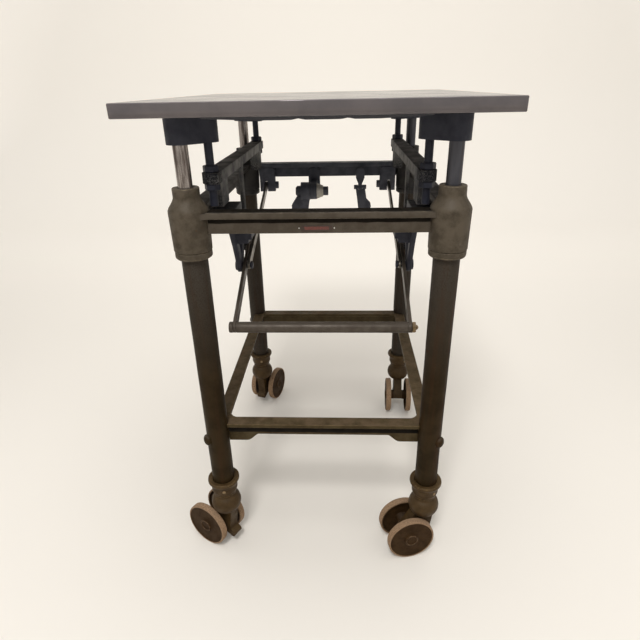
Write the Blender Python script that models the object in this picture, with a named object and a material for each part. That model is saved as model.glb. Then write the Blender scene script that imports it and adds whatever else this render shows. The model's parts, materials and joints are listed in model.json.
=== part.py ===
"""Adjustable printers table: a thick metal top that rises on guide rods in four tubular legs.

Metres, +Z up. The origin is on the floor, midway between the four legs, and -Y is the front.
The bail at the front is a lever: its tails carry pins that lift the top through two slotted yokes.
"""
import math

import bmesh
import bpy
from mathutils import Matrix, Vector

# Clearances
SEAT_GAP = 0.0003
RUN_GAP = 0.0005
LANDING_GAP = 0.0005

# Legs and their place
LEG_X = 0.2415
LEG_Y = 0.3075
LEG_RADIUS = 0.0254
LEG_WALL = 0.004
LEG_BOTTOM = 0.191

# Height of the lower frame above the floor
LOWER_RAIL_TOP = 0.3607

# Table top, drawn at the height of the photograph
TOP_WIDTH = 0.6525
TOP_DEPTH = 0.7680
TOP_THICKNESS = 0.0235
TOP_UNDERSIDE = 1.0086
TOP_EDGE_ROUND = 0.002
RIB_HALF = 0.1990
RIB_DEPTH = 0.0100
RIB_THICKNESS = 0.0080
LIFT_DOWN = 0.0740
LIFT_UP = 0.0300

# Corner blocks under the top
BLOCK_HEIGHT = 0.0462
BLOCK_GUIDE_RADIUS = 0.0235
BLOCK_HANGER_RADIUS = 0.0205
BORE_DEPTH = 0.030

# Guide rods
GUIDE_RADIUS = 0.0135
GUIDE_INSERT = 0.240

# Collar castings on the leg tops
COLLAR_TOP = 0.0842
COLLAR_NECK = 0.0250
COLLAR_NECK_LENGTH = 0.0162
COLLAR_SHOULDER = 0.0375
COLLAR_WAIST = 0.0362
COLLAR_DROP = 0.0480
COLLAR_RING = 0.0145
COLLAR_SEAT = 0.0300
COLLAR_LIP = 0.0025

# Rails of T section: a flange on top of a web
UPPER_RAIL_HEIGHT = 0.0405
UPPER_FLANGE = 0.0120
LOWER_RAIL_HEIGHT = 0.0340
LOWER_FLANGE = 0.0090
FLANGE_OUT = 0.0195
FLANGE_IN = 0.0145
WEB_OUT = 0.0120
WEB_THICKNESS = 0.0100
LOWER_SHIFT = 0.0095
LOWER_FLANGE_HALF = 0.0150
LOWER_WEB_HALF = 0.0045
GUSSET_DROP = 0.0180
GUSSET_LENGTH = 0.0735
GUSSET_RUN = 0.0330

# Hanger rods, and the lift bars with a leg under each end
HANGER_INSET_X = 0.0415
HANGER_INSET_Y = 0.0335
HANGER_RADIUS = 0.0079
NUT_RADIUS = 0.0148
NUT_HEIGHT = 0.0120
ROD_STUB = 0.0300
LIFT_BAR_DROP = 0.1202
LIFT_BAR_HEIGHT = 0.0205
LIFT_BAR_HALF = 0.0163
LIFT_BAR_END = 0.0145
LIFT_BAR_CLEAR = 0.0010
LIFT_LEG_INNER = 0.0130
LIFT_LEG_OUTER = 0.0085
LIFT_LEG_NEAR = 0.0165
LIFT_LEG_FAR = 0.0740
LIFT_LEG_DROP = 0.0480

# Bail lever
PIVOT_Y = -0.0750
PIVOT_DROP = 0.1450
BAIL_REACH = 0.1937
BAIL_SLOPE = math.radians(25.4)
TAIL_REACH = 0.1000
ARM_INSET = 0.0475
ARM_THICKNESS = 0.0070
ARM_HALF_WIDTH = 0.0120
BAIL_TUBE_RADIUS = 0.0121
BAIL_BOLT_RADIUS = 0.0060
BAIL_HEAD_RADIUS = 0.0105
BAIL_HEAD_HEIGHT = 0.0080
BAIL_NUT_HEIGHT = 0.0110
TAIL_PIN_RADIUS = 0.0060

# Lift yokes and the ratio of lift to bail angle
LIFT_PER_RADIAN = 0.0945
YOKE_GAP = 0.0025
YOKE_THICKNESS = 0.0070
YOKE_RIM = 0.0120
YOKE_STEM_HALF = 0.0110
SLOT_EASE = 0.0006
SLOT_STEPS = 40

# Bail hangers under the side rails
HANGER_GAP = 0.0030
HANGER_THICKNESS = 0.0120
HANGER_PAD_HEIGHT = 0.0240
HANGER_FRONT = 0.0820
HANGER_REAR = 0.0450
HANGER_SKIRT = 0.0850
HANGER_LEG = 0.0100
HANGER_BOSS_RADIUS = 0.0170
HANGER_BLOCK_REACH = 0.0460
HANGER_BLOCK_FRONT = 0.0430
HANGER_BLOCK_REAR = 0.0250
HANGER_BLOCK_DOWN = 0.0797
HANGER_STEP = 0.0080
HANGER_STEP_RISE = 0.0095
PIVOT_RADIUS = 0.0080
PIVOT_STUD_RADIUS = 0.0050
PIVOT_HEAD_RADIUS = 0.0130
PIVOT_HEAD_HEIGHT = 0.0050
PIVOT_NUT_RADIUS = 0.0090
PIVOT_NUT_HEIGHT = 0.0055

# Rear brackets and stay bars
REAR_BRACKET_X = 0.1780
REAR_BRACKET_HALF = 0.0225
REAR_BRACKET_DEPTH = 0.0180
REAR_BRACKET_DOWN = 0.0395
REAR_BRACKET_ROUND = 0.0080
BRACKET_BOLT_DROP = 0.0220
BRACKET_NUT_RADIUS = 0.0105
BRACKET_NUT_HEIGHT = 0.0090
STAY_THICKNESS = 0.0060
STAY_PLAY = 0.0025
STAY_EYE_RIM = 0.0045

# Lock lever and release lever on the rear rail
LOCK_X = -0.0385
LOCK_HALF = 0.0169
LOCK_AXIS_Y = 0.0720
LOCK_AXIS_DROP = 0.0294
LOCK_LUG_THICKNESS = 0.0140
LOCK_ARM_HALF = 0.0095
LOCK_BOSS_RADIUS = 0.0235
LOCK_BOLT_RADIUS = 0.0060
LOCK_HEAD_RADIUS = 0.0120
LOCK_HEAD_HEIGHT = 0.0025
LOCK_HUB_RADIUS = 0.0250
LOCK_HUB_LENGTH = 0.0258
LOCK_CAP_RADIUS = 0.0148
LOCK_CAP_LENGTH = 0.0118
LOCK_LEVER_LENGTH = 0.0760
LOCK_LEVER_HALF = 0.0110
LOCK_LEVER_LEAN = 0.0160
LOCK_LEVER_TUCK = 0.0080
LOCK_LEVER_ROUND = 0.0100
LOCK_WASHER_RADIUS = 0.0215
LOCK_WASHER_END = 0.0145
LOCK_WASHER_LENGTH = 0.0188
LOCK_NUT_RADIUS = 0.0125
LOCK_NUT_LENGTH = 0.0145
RELEASE_X = 0.0970
RELEASE_AXIS_Y = 0.0335
RELEASE_AXIS_DROP = 0.0266
RELEASE_LUG_HALF = 0.0124
RELEASE_SHANK_HALF = 0.0100
RELEASE_NECK_HALF = 0.0055
RELEASE_NECK_RISE = 0.0100
RELEASE_EYE_HALF = 0.0058
RELEASE_KNUCKLE = 0.0063
RELEASE_KNUCKLE_REACH = 0.0179
RELEASE_PIN_RADIUS = 0.0030
RELEASE_PIN_REACH = 0.0160
RELEASE_GRIP_DEPTH = 0.0110

# Outline of the release grip, across and above its pin
RELEASE_GRIP = (
    (-0.0130, -0.0030),
    (-0.0086, -0.0320),
    (-0.0050, -0.0600),
    (0.0030, -0.0740),
    (0.0160, -0.0780),
    (0.0270, -0.0700),
    (0.0330, -0.0560),
    (0.0310, -0.0460),
    (0.0195, -0.0340),
    (0.0145, -0.0030),
)

# Casters
SOCKET_CUP_RADIUS = 0.0370
SOCKET_CUP_TOP = 0.2040
SOCKET_BODY_RADIUS = 0.0315
SOCKET_NECK_RADIUS = 0.0275
SOCKET_BOTTOM = 0.1600
STEM_RADIUS = 0.0100
STEM_LENGTH = 0.0260
BALL_RADIUS = 0.0355
BALL_CENTRE = 0.1300
BALL_HALF_HEIGHT = 0.0310
TRAIL = 0.0410
FORK_HALF_THICKNESS = 0.0130
AXLE_RADIUS = 0.0063
AXLE_BOSS_RADIUS = 0.0150
TOE_CLEARANCE = 0.0250
WHEEL_RADIUS = 0.0571
WHEEL_WIDTH = 0.0165
WHEEL_SPREAD = 0.0335
WHEEL_RIM = 0.0070
WHEEL_DISH = 0.0075
HUB_RADIUS = 0.0165
HUB_CAP_HEIGHT = 0.0018
HUB_CAP_FLOOR = 0.0050

# Facets of round pieces
FINE = 24
ROUND = 20
SMALL = 12
HEX = 6
FLARE_STEPS = 6
SMOOTH_ANGLE = math.radians(40.0)

# Corners: name, side in X, side in Y, and the way each caster trails
CORNERS = (
    ("front_left", -1, -1, math.radians(150.5)),
    ("front_right", 1, -1, math.radians(193.4)),
    ("rear_left", -1, 1, math.radians(72.0)),
    ("rear_right", 1, 1, math.radians(-92.0)),
)
SIDES = (("left", -1), ("right", 1))

# Places worked out from the sizes above
HANGER_X = LEG_X - HANGER_INSET_X
HANGER_Y = LEG_Y - HANGER_INSET_Y
BLOCK_BOTTOM = TOP_UNDERSIDE - SEAT_GAP - BLOCK_HEIGHT
RAIL_BOTTOM = BLOCK_BOTTOM - LIFT_DOWN - LANDING_GAP - COLLAR_TOP
LIFT_BAR_BOTTOM = TOP_UNDERSIDE - LIFT_BAR_DROP
PIVOT_Z = RAIL_BOTTOM - PIVOT_DROP
BRACKET_TOP = RAIL_BOTTOM + UPPER_RAIL_HEIGHT - UPPER_FLANGE - SEAT_GAP
BRACKET_FACE = LEG_Y + WEB_OUT - WEB_THICKNESS - SEAT_GAP
ARM_OUTER = LEG_X - ARM_INSET
ARM_INNER = ARM_OUTER - ARM_THICKNESS
AXLE_HEIGHT = WHEEL_RADIUS * math.cos(math.pi / FINE)


def clear_scene():
    """Removes every object of the open scene."""
    for item in list(bpy.data.objects):
        bpy.data.objects.remove(item, do_unlink=True)


def make_material(name, colour, roughness, metallic):
    """Returns a Principled material with a plain colour."""
    finish = bpy.data.materials.new(name)
    finish.use_nodes = True
    shader = finish.node_tree.nodes["Principled BSDF"]
    shader.inputs["Base Color"].default_value = (*colour, 1.0)
    shader.inputs["Roughness"].default_value = roughness
    shader.inputs["Metallic"].default_value = metallic
    return finish


def add_box(mesh, low, high):
    """Adds a box between two corners."""
    size = [b - a for a, b in zip(low, high)]
    centre = [(a + b) / 2 for a, b in zip(low, high)]
    place = Matrix.Translation(centre) @ Matrix.Diagonal((*size, 1.0))
    bmesh.ops.create_cube(mesh, size=1.0, matrix=place)


def axis_frame(origin, axis, up=Vector((0.0, 0.0, 1.0))):
    """Returns a matrix whose Z runs along axis and whose X leans towards up."""
    z_axis = Vector(axis).normalized()
    if abs(z_axis.dot(up)) > 0.99:
        up = Vector((1.0, 0.0, 0.0))
    x_axis = (up - z_axis * up.dot(z_axis)).normalized()
    y_axis = z_axis.cross(x_axis)
    turn = Matrix((x_axis, y_axis, z_axis)).transposed().to_4x4()
    return Matrix.Translation(origin) @ turn


def add_turned(mesh, profile, segments, place=Matrix.Identity(4)):
    """Turns a profile of (radius, height) points about Z; a profile off the axis is closed into a ring."""
    rings = []
    for radius, height in profile:
        if radius == 0.0:
            rings.append([mesh.verts.new(place @ Vector((0.0, 0.0, height)))])
            continue
        ring = []
        for step in range(segments):
            angle = (step + 0.5) * 2 * math.pi / segments
            point = Vector((radius * math.cos(angle), radius * math.sin(angle), height))
            ring.append(mesh.verts.new(place @ point))
        rings.append(ring)
    pairs = list(zip(rings, rings[1:]))
    if profile[0][0] > 0.0:
        pairs.append((rings[-1], rings[0]))
    for lower, upper in pairs:
        for step in range(segments):
            following = (step + 1) % segments
            if len(lower) == 1:
                corners = (lower[0], upper[step], upper[following])
            elif len(upper) == 1:
                corners = (lower[step], upper[0], lower[following])
            else:
                corners = (lower[step], upper[step], upper[following], lower[following])
            mesh.faces.new(corners)


def add_rod(mesh, start, end, radius, segments=SMALL):
    """Adds a round rod between two points."""
    run = Vector(end) - Vector(start)
    profile = [(0.0, 0.0), (radius, 0.0), (radius, run.length), (0.0, run.length)]
    add_turned(mesh, profile, segments, axis_frame(start, run))


def add_prism(mesh, outline, place, thickness):
    """Adds a plate with the given outline in the local XY plane, from Z 0 up to its thickness."""
    lower = [mesh.verts.new(place @ Vector((u, v, 0.0))) for u, v in outline]
    upper = [mesh.verts.new(place @ Vector((u, v, thickness))) for u, v in outline]
    mesh.faces.new(lower)
    mesh.faces.new(upper)
    count = len(outline)
    for step in range(count):
        following = (step + 1) % count
        mesh.faces.new((lower[step], lower[following], upper[following], upper[step]))


def arc(centre, radius, start, end, steps):
    """Returns the points of an arc, with angles in radians."""
    points = []
    for step in range(steps + 1):
        angle = start + (end - start) * step / steps
        points.append((centre[0] + radius * math.cos(angle), centre[1] + radius * math.sin(angle)))
    return points


def side_frame(x_low):
    """Returns a frame for plates across X: local X is world Y, local Y is world Z."""
    turn = Matrix(((0, 0, 1, 0), (1, 0, 0, 0), (0, 1, 0, 0), (0, 0, 0, 1)))
    return Matrix.Translation((x_low, 0.0, 0.0)) @ turn


def front_frame(y_low):
    """Returns a frame for plates across Y: local X is world X, local Y is world Z, drawn to the front."""
    turn = Matrix(((1, 0, 0, 0), (0, 0, -1, 0), (0, 1, 0, 0), (0, 0, 0, 1)))
    return Matrix.Translation((0.0, y_low, 0.0)) @ turn


def span(side, inner, outer):
    """Returns the low and high X of a piece on one side, from its distances to the middle."""
    ends = sorted((side * inner, side * outer))
    return ends[0], ends[1]


def finish_mesh(mesh, name):
    """Turns a bmesh into mesh data with outward faces and smooth round sides."""
    bmesh.ops.recalc_face_normals(mesh, faces=mesh.faces)
    data = bpy.data.meshes.new(name)
    mesh.to_mesh(data)
    mesh.free()
    data.shade_smooth()
    data.set_sharp_from_angle(angle=SMOOTH_ANGLE)
    return data


def add_piece(name, mesh, finish, parent=None):
    """Makes the visible object of one piece."""
    piece = bpy.data.objects.new(name, finish_mesh(mesh, name))
    piece.data.materials.append(finish)
    piece.parent = parent
    bpy.context.scene.collection.objects.link(piece)
    return piece


def add_tool(name, mesh, parent=None):
    """Makes a hidden object that cuts or extends a piece."""
    tool = bpy.data.objects.new(name, finish_mesh(mesh, name))
    tool.hide_render = True
    tool.display_type = "WIRE"
    tool.parent = parent
    bpy.context.scene.collection.objects.link(tool)
    return tool


def combine(piece, tool, operation):
    """Adds a Boolean of the piece with a hidden tool."""
    step = piece.modifiers.new(tool.name, "BOOLEAN")
    step.operation = operation
    step.solver = "EXACT"
    step.object = tool


def add_empty(name, location, turn=0.0, parent=None):
    """Makes an empty that carries the pieces of one moving body."""
    carrier = bpy.data.objects.new(name, None)
    carrier.location = location
    carrier.rotation_euler = (0.0, 0.0, turn)
    carrier.parent = parent
    bpy.context.scene.collection.objects.link(carrier)
    return carrier


def vertical_rods(name, places, radius, low, high, segments):
    """Makes one hidden tool of upright rods."""
    mesh = bmesh.new()
    for x, y in places:
        add_rod(mesh, (x, y, low), (x, y, high), radius, segments)
    return add_tool(name, mesh)


def leg_places():
    """Returns the axes of the four legs."""
    return [(sx * LEG_X, sy * LEG_Y) for _, sx, sy, _ in CORNERS]


def hanger_places():
    """Returns the axes of the four hanger rods."""
    return [(sx * HANGER_X, sy * HANGER_Y) for _, sx, sy, _ in CORNERS]


def s_curve(start, end):
    """Returns the points of a smooth S from one point to another, level with Y at both ends."""
    points = []
    for step in range(FLARE_STEPS + 1):
        part = step / FLARE_STEPS
        swell = (1.0 - math.cos(math.pi * part)) / 2
        points.append((start[0] + (end[0] - start[0]) * swell, start[1] + (end[1] - start[1]) * part))
    return points


def build_legs(finishes):
    """Builds the leg tubes and the collar castings that guide the rods."""
    inner = LEG_RADIUS - LEG_WALL
    seat = RAIL_BOTTOM + COLLAR_SEAT
    tube_top = seat - SEAT_GAP
    tube = [(LEG_RADIUS, LEG_BOTTOM), (LEG_RADIUS, tube_top), (inner, tube_top), (inner, LEG_BOTTOM)]
    top = RAIL_BOTTOM + COLLAR_TOP
    bottom = RAIL_BOTTOM - COLLAR_DROP
    ring = bottom + COLLAR_RING
    shoulder = RAIL_BOTTOM + UPPER_RAIL_HEIGHT
    groove = COLLAR_WAIST - COLLAR_LIP / 2
    tube_bore = LEG_RADIUS + SEAT_GAP
    rod_bore = GUIDE_RADIUS + RUN_GAP
    collar = [(COLLAR_NECK - COLLAR_LIP, top), (COLLAR_NECK, top - COLLAR_LIP)]
    collar += s_curve((COLLAR_NECK, top - COLLAR_NECK_LENGTH), (COLLAR_SHOULDER, shoulder))
    collar += [
        (COLLAR_WAIST, ring),
        (groove, ring - COLLAR_LIP / 2),
        (COLLAR_WAIST, ring - COLLAR_LIP),
        (COLLAR_WAIST, bottom + COLLAR_LIP),
        (COLLAR_WAIST - COLLAR_LIP, bottom),
        (tube_bore, bottom),
        (tube_bore, seat),
        (rod_bore, seat),
        (rod_bore, top),
    ]
    for (name, _, _, _), (x, y) in zip(CORNERS, leg_places()):
        place = Matrix.Translation((x, y, 0.0))
        mesh = bmesh.new()
        add_turned(mesh, tube, ROUND, place)
        add_piece(f"leg_tube_{name}", mesh, finishes["leg_paint"])
        mesh = bmesh.new()
        add_turned(mesh, collar, ROUND, place)
        add_piece(f"leg_collar_{name}", mesh, finishes["cast_iron"])


def tee_outline(flange_out, flange_in, web_out, web, height, flange):
    """Returns the T section of a rail, outward to +X, with its lower edge at 0."""
    return [
        (web_out, 0.0),
        (web_out, height - flange),
        (flange_out, height - flange),
        (flange_out, height),
        (-flange_in, height),
        (-flange_in, height - flange),
        (web_out - web, height - flange),
        (web_out - web, 0.0),
    ]


def section_frame(axis, side, at, start, bottom):
    """Returns the frame that sweeps a section along Y (axis "x") or X (axis "y"), outward on one side."""
    if axis == "x":
        turn = Matrix(((side, 0, 0, 0), (0, 0, 1, 0), (0, 1, 0, 0), (0, 0, 0, 1)))
        return Matrix.Translation((side * at, start, bottom)) @ turn
    turn = Matrix(((0, 0, 1, 0), (side, 0, 0, 0), (0, 1, 0, 0), (0, 0, 0, 1)))
    return Matrix.Translation((start, side * at, bottom)) @ turn


def build_upper_rails(finishes):
    """Builds the four T rails between the collars, each end hollowed to fit its collar."""
    clear = COLLAR_SHOULDER + SEAT_GAP
    low = RAIL_BOTTOM - UPPER_RAIL_HEIGHT
    high = RAIL_BOTTOM + 2 * UPPER_RAIL_HEIGHT
    collars = vertical_rods("collar_space", leg_places(), clear, low, high, ROUND)
    section = tee_outline(FLANGE_OUT, FLANGE_IN, WEB_OUT, WEB_THICKNESS, UPPER_RAIL_HEIGHT, UPPER_FLANGE)
    runs = (
        ("upper_front_rail", "y", -1, LEG_Y, LEG_X),
        ("upper_rear_rail", "y", 1, LEG_Y, LEG_X),
        ("upper_left_rail", "x", -1, LEG_X, LEG_Y),
        ("upper_right_rail", "x", 1, LEG_X, LEG_Y),
    )
    for name, axis, side, at, half in runs:
        mesh = bmesh.new()
        half_run = half - COLLAR_SHOULDER / 2
        add_prism(mesh, section, section_frame(axis, side, at, -half_run, RAIL_BOTTOM), 2 * half_run)
        combine(add_piece(name, mesh, finishes["rail_iron"]), collars, "DIFFERENCE")


def build_lower_rails(finishes):
    """Builds the lower frame: front and rear rails with gussets, and side rails between them."""
    bottom = LOWER_RAIL_TOP - LOWER_RAIL_HEIGHT
    clear = LEG_RADIUS + SEAT_GAP
    low = bottom - 2 * GUSSET_DROP
    legs = vertical_rods("leg_space", leg_places(), clear, low, LOWER_RAIL_TOP + GUSSET_DROP, ROUND)
    inner_edge = LEG_Y - LOWER_SHIFT - LOWER_FLANGE_HALF
    half = LOWER_FLANGE_HALF
    web = LOWER_WEB_HALF
    section = tee_outline(half, half, web, 2 * web, LOWER_RAIL_HEIGHT, LOWER_FLANGE)
    for name, side in (("lower_front_rail", -1), ("lower_rear_rail", 1)):
        mesh = bmesh.new()
        at = LEG_Y - LOWER_SHIFT
        add_prism(mesh, section, section_frame("y", side, at, -LEG_X, bottom), 2 * LEG_X)
        rail = add_piece(name, mesh, finishes["rail_iron"])
        mesh = bmesh.new()
        for _, end in SIDES:
            inner = LEG_X - LEG_RADIUS - GUSSET_LENGTH
            foot = (bottom - GUSSET_DROP, end * (inner + GUSSET_RUN))
            root = (bottom + LOWER_FLANGE / 4, end * inner)
            outline = [(end * LEG_X, bottom - GUSSET_DROP)]
            outline += [(x, z) for z, x in s_curve(foot, root)]
            outline += [(end * inner, bottom + LOWER_FLANGE), (end * LEG_X, bottom + LOWER_FLANGE)]
            add_prism(mesh, outline, front_frame(side * at + web), 2 * web)
        combine(rail, add_tool(f"{name}_gussets", mesh), "UNION")
        combine(rail, legs, "DIFFERENCE")
    half_run = inner_edge - SEAT_GAP
    for name, side in (("lower_left_rail", -1), ("lower_right_rail", 1)):
        mesh = bmesh.new()
        at = LEG_X - LOWER_SHIFT
        add_prism(mesh, section, section_frame("x", side, at, -half_run, bottom), 2 * half_run)
        combine(add_piece(name, mesh, finishes["rail_iron"]), legs, "DIFFERENCE")


def oblong_outline(first, first_radius, second, second_radius, steps):
    """Returns the outline that wraps two circles, like a belt round two wheels."""
    run_x = second[0] - first[0]
    run_y = second[1] - first[1]
    way = math.atan2(run_y, run_x)
    lean = math.acos((first_radius - second_radius) / math.hypot(run_x, run_y))
    outline = arc(first, first_radius, way + lean, way + 2 * math.pi - lean, steps)
    return outline + arc(second, second_radius, way - lean, way + lean, steps)


def build_top(finishes, carrier):
    """Builds the table top with the rib between its front blocks, the corner blocks and the guide rods."""
    mesh = bmesh.new()
    low = (-TOP_WIDTH / 2, -TOP_DEPTH / 2, TOP_UNDERSIDE)
    high = (TOP_WIDTH / 2, TOP_DEPTH / 2, TOP_UNDERSIDE + TOP_THICKNESS)
    add_box(mesh, low, high)
    bmesh.ops.bevel(mesh, geom=mesh.edges, offset=TOP_EDGE_ROUND, segments=2, profile=0.5, affect="EDGES")
    plate = add_piece("table_top", mesh, finishes["top_steel"], carrier)
    mesh = bmesh.new()
    low = (-RIB_HALF, -LEG_Y - RIB_THICKNESS / 2, TOP_UNDERSIDE - RIB_DEPTH)
    high = (RIB_HALF, -LEG_Y + RIB_THICKNESS / 2, TOP_UNDERSIDE + TOP_THICKNESS / 2)
    add_box(mesh, low, high)
    combine(plate, add_tool("table_top_rib", mesh, carrier), "UNION")
    bore_top = BLOCK_BOTTOM + BORE_DEPTH
    guide_bore = GUIDE_RADIUS + SEAT_GAP
    mouth = BLOCK_BOTTOM - BORE_DEPTH
    guides = vertical_rods("guide_bores", leg_places(), guide_bore, mouth, bore_top, ROUND)
    hanger_bore = HANGER_RADIUS + SEAT_GAP
    low_end = LIFT_BAR_BOTTOM - BORE_DEPTH
    hangers = vertical_rods("hanger_bores", hanger_places(), hanger_bore, low_end, bore_top, SMALL)
    for (name, _, _, _), guide, hanger in zip(CORNERS, leg_places(), hanger_places()):
        outline = oblong_outline(guide, BLOCK_GUIDE_RADIUS, hanger, BLOCK_HANGER_RADIUS, 10)
        mesh = bmesh.new()
        add_prism(mesh, outline, Matrix.Translation((0.0, 0.0, BLOCK_BOTTOM)), BLOCK_HEIGHT)
        block = add_piece(f"corner_block_{name}", mesh, finishes["cast_iron"], carrier)
        combine(block, guides, "DIFFERENCE")
        combine(block, hangers, "DIFFERENCE")
    foot = RAIL_BOTTOM + COLLAR_TOP - GUIDE_INSERT
    for (name, _, _, _), (x, y) in zip(CORNERS, leg_places()):
        mesh = bmesh.new()
        add_rod(mesh, (x, y, foot), (x, y, bore_top - SEAT_GAP), GUIDE_RADIUS, ROUND)
        add_piece(f"guide_rod_{name}", mesh, finishes["bright_steel"], carrier)
    return hangers


def tail_offset(turn):
    """Returns how far the tail pin moves along Y, and above the yoke, when the bail turns."""
    along = TAIL_REACH * (math.cos(BAIL_SLOPE + turn) - math.cos(BAIL_SLOPE))
    rise = TAIL_REACH * (math.sin(BAIL_SLOPE + turn) - math.sin(BAIL_SLOPE)) - LIFT_PER_RADIAN * turn
    return along, rise


def slot_limits():
    """Returns the low and high Y and Z of the slot that the tail pin needs over the whole lift."""
    pin_y = PIVOT_Y + TAIL_REACH * math.cos(BAIL_SLOPE)
    pin_z = PIVOT_Z + TAIL_REACH * math.sin(BAIL_SLOPE)
    first = -LIFT_DOWN / LIFT_PER_RADIAN
    last = LIFT_UP / LIFT_PER_RADIAN
    turns = [first + (last - first) * step / SLOT_STEPS for step in range(SLOT_STEPS + 1)]
    along = [pin_y + tail_offset(turn)[0] for turn in turns]
    rise = [pin_z + tail_offset(turn)[1] for turn in turns]
    ease = TAIL_PIN_RADIUS + SLOT_EASE
    return (min(along) - ease, max(along) + ease), (min(rise) - ease, max(rise) + ease)


def yoke_outline(slot_y, slot_z):
    """Returns the outline of a yoke: a plate round the slot, on a stem that runs up into the lift bar."""
    low_y = slot_y[0] - YOKE_RIM
    high_y = slot_y[1] + YOKE_RIM
    low_z = slot_z[0] - YOKE_RIM
    high_z = slot_z[1] + YOKE_RIM
    middle = (low_y + high_y) / 2
    stem_top = LIFT_BAR_BOTTOM + LIFT_BAR_HEIGHT / 2
    return [
        (low_y, low_z),
        (high_y, low_z),
        (high_y, high_z),
        (middle + YOKE_STEM_HALF, high_z + YOKE_RIM),
        (middle + YOKE_STEM_HALF, stem_top),
        (middle - YOKE_STEM_HALF, stem_top),
        (middle - YOKE_STEM_HALF, high_z + YOKE_RIM),
        (low_y, high_z),
    ]


def build_lift_bars(finishes, carrier, hanger_bores):
    """Builds the lift bars, each with two legs and the slotted yoke that the bail's tail pin lifts."""
    end = HANGER_Y + LIFT_BAR_END
    middle = LIFT_BAR_BOTTOM + LIFT_BAR_HEIGHT / 2
    foot = LIFT_BAR_BOTTOM - LIFT_LEG_DROP
    low = LIFT_BAR_BOTTOM - LIFT_BAR_HEIGHT
    high = LIFT_BAR_BOTTOM + 2 * LIFT_BAR_HEIGHT
    collars = vertical_rods("lift_space", leg_places(), COLLAR_SHOULDER + LIFT_BAR_CLEAR, low, high, ROUND)
    slot_y, slot_z = slot_limits()
    yoke = ARM_OUTER + YOKE_GAP
    for name, side in SIDES:
        x_ends = span(side, HANGER_X - LIFT_BAR_HALF, HANGER_X + LIFT_BAR_HALF)
        mesh = bmesh.new()
        add_box(mesh, (x_ends[0], -end, LIFT_BAR_BOTTOM), (x_ends[1], end, LIFT_BAR_BOTTOM + LIFT_BAR_HEIGHT))
        bar = add_piece(f"lift_bar_{name}", mesh, finishes["rail_iron"], carrier)
        leg_x = span(side, HANGER_X - LIFT_LEG_INNER, HANGER_X + LIFT_LEG_OUTER)
        mesh = bmesh.new()
        for fore in (-1, 1):
            leg_y = span(fore, HANGER_Y - LIFT_LEG_FAR, HANGER_Y - LIFT_LEG_NEAR)
            add_box(mesh, (leg_x[0], leg_y[0], foot), (leg_x[1], leg_y[1], middle))
        combine(bar, add_tool(f"lift_bar_{name}_legs", mesh, carrier), "UNION")
        x_low, x_high = span(side, yoke, yoke + YOKE_THICKNESS)
        mesh = bmesh.new()
        add_prism(mesh, yoke_outline(slot_y, slot_z), side_frame(x_low), YOKE_THICKNESS)
        combine(bar, add_tool(f"lift_bar_{name}_yoke", mesh, carrier), "UNION")
        mesh = bmesh.new()
        add_box(mesh, (x_low - YOKE_RIM, slot_y[0], slot_z[0]), (x_high + YOKE_RIM, slot_y[1], slot_z[1]))
        combine(bar, add_tool(f"lift_bar_{name}_slot", mesh, carrier), "DIFFERENCE")
        combine(bar, collars, "DIFFERENCE")
        combine(bar, hanger_bores, "DIFFERENCE")


def build_hanger_rods(finishes, carrier):
    """Builds the rods that hang the lift bars from the corner blocks, each with a nut on either side."""
    upper_nut = LIFT_BAR_BOTTOM + LIFT_BAR_HEIGHT + SEAT_GAP
    lower_nut = LIFT_BAR_BOTTOM - SEAT_GAP - NUT_HEIGHT
    rod_low = lower_nut - ROD_STUB
    rod_top = BLOCK_BOTTOM + BORE_DEPTH - SEAT_GAP
    for (name, _, _, _), (x, y) in zip(CORNERS, hanger_places()):
        mesh = bmesh.new()
        add_rod(mesh, (x, y, rod_low), (x, y, rod_top), HANGER_RADIUS)
        rod = add_piece(f"hanger_rod_{name}", mesh, finishes["dark_steel"], carrier)
        mesh = bmesh.new()
        for low in (lower_nut, upper_nut):
            add_rod(mesh, (x, y, low), (x, y, low + NUT_HEIGHT), NUT_RADIUS, HEX)
        combine(rod, add_tool(f"hanger_nuts_{name}", mesh, carrier), "UNION")


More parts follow.
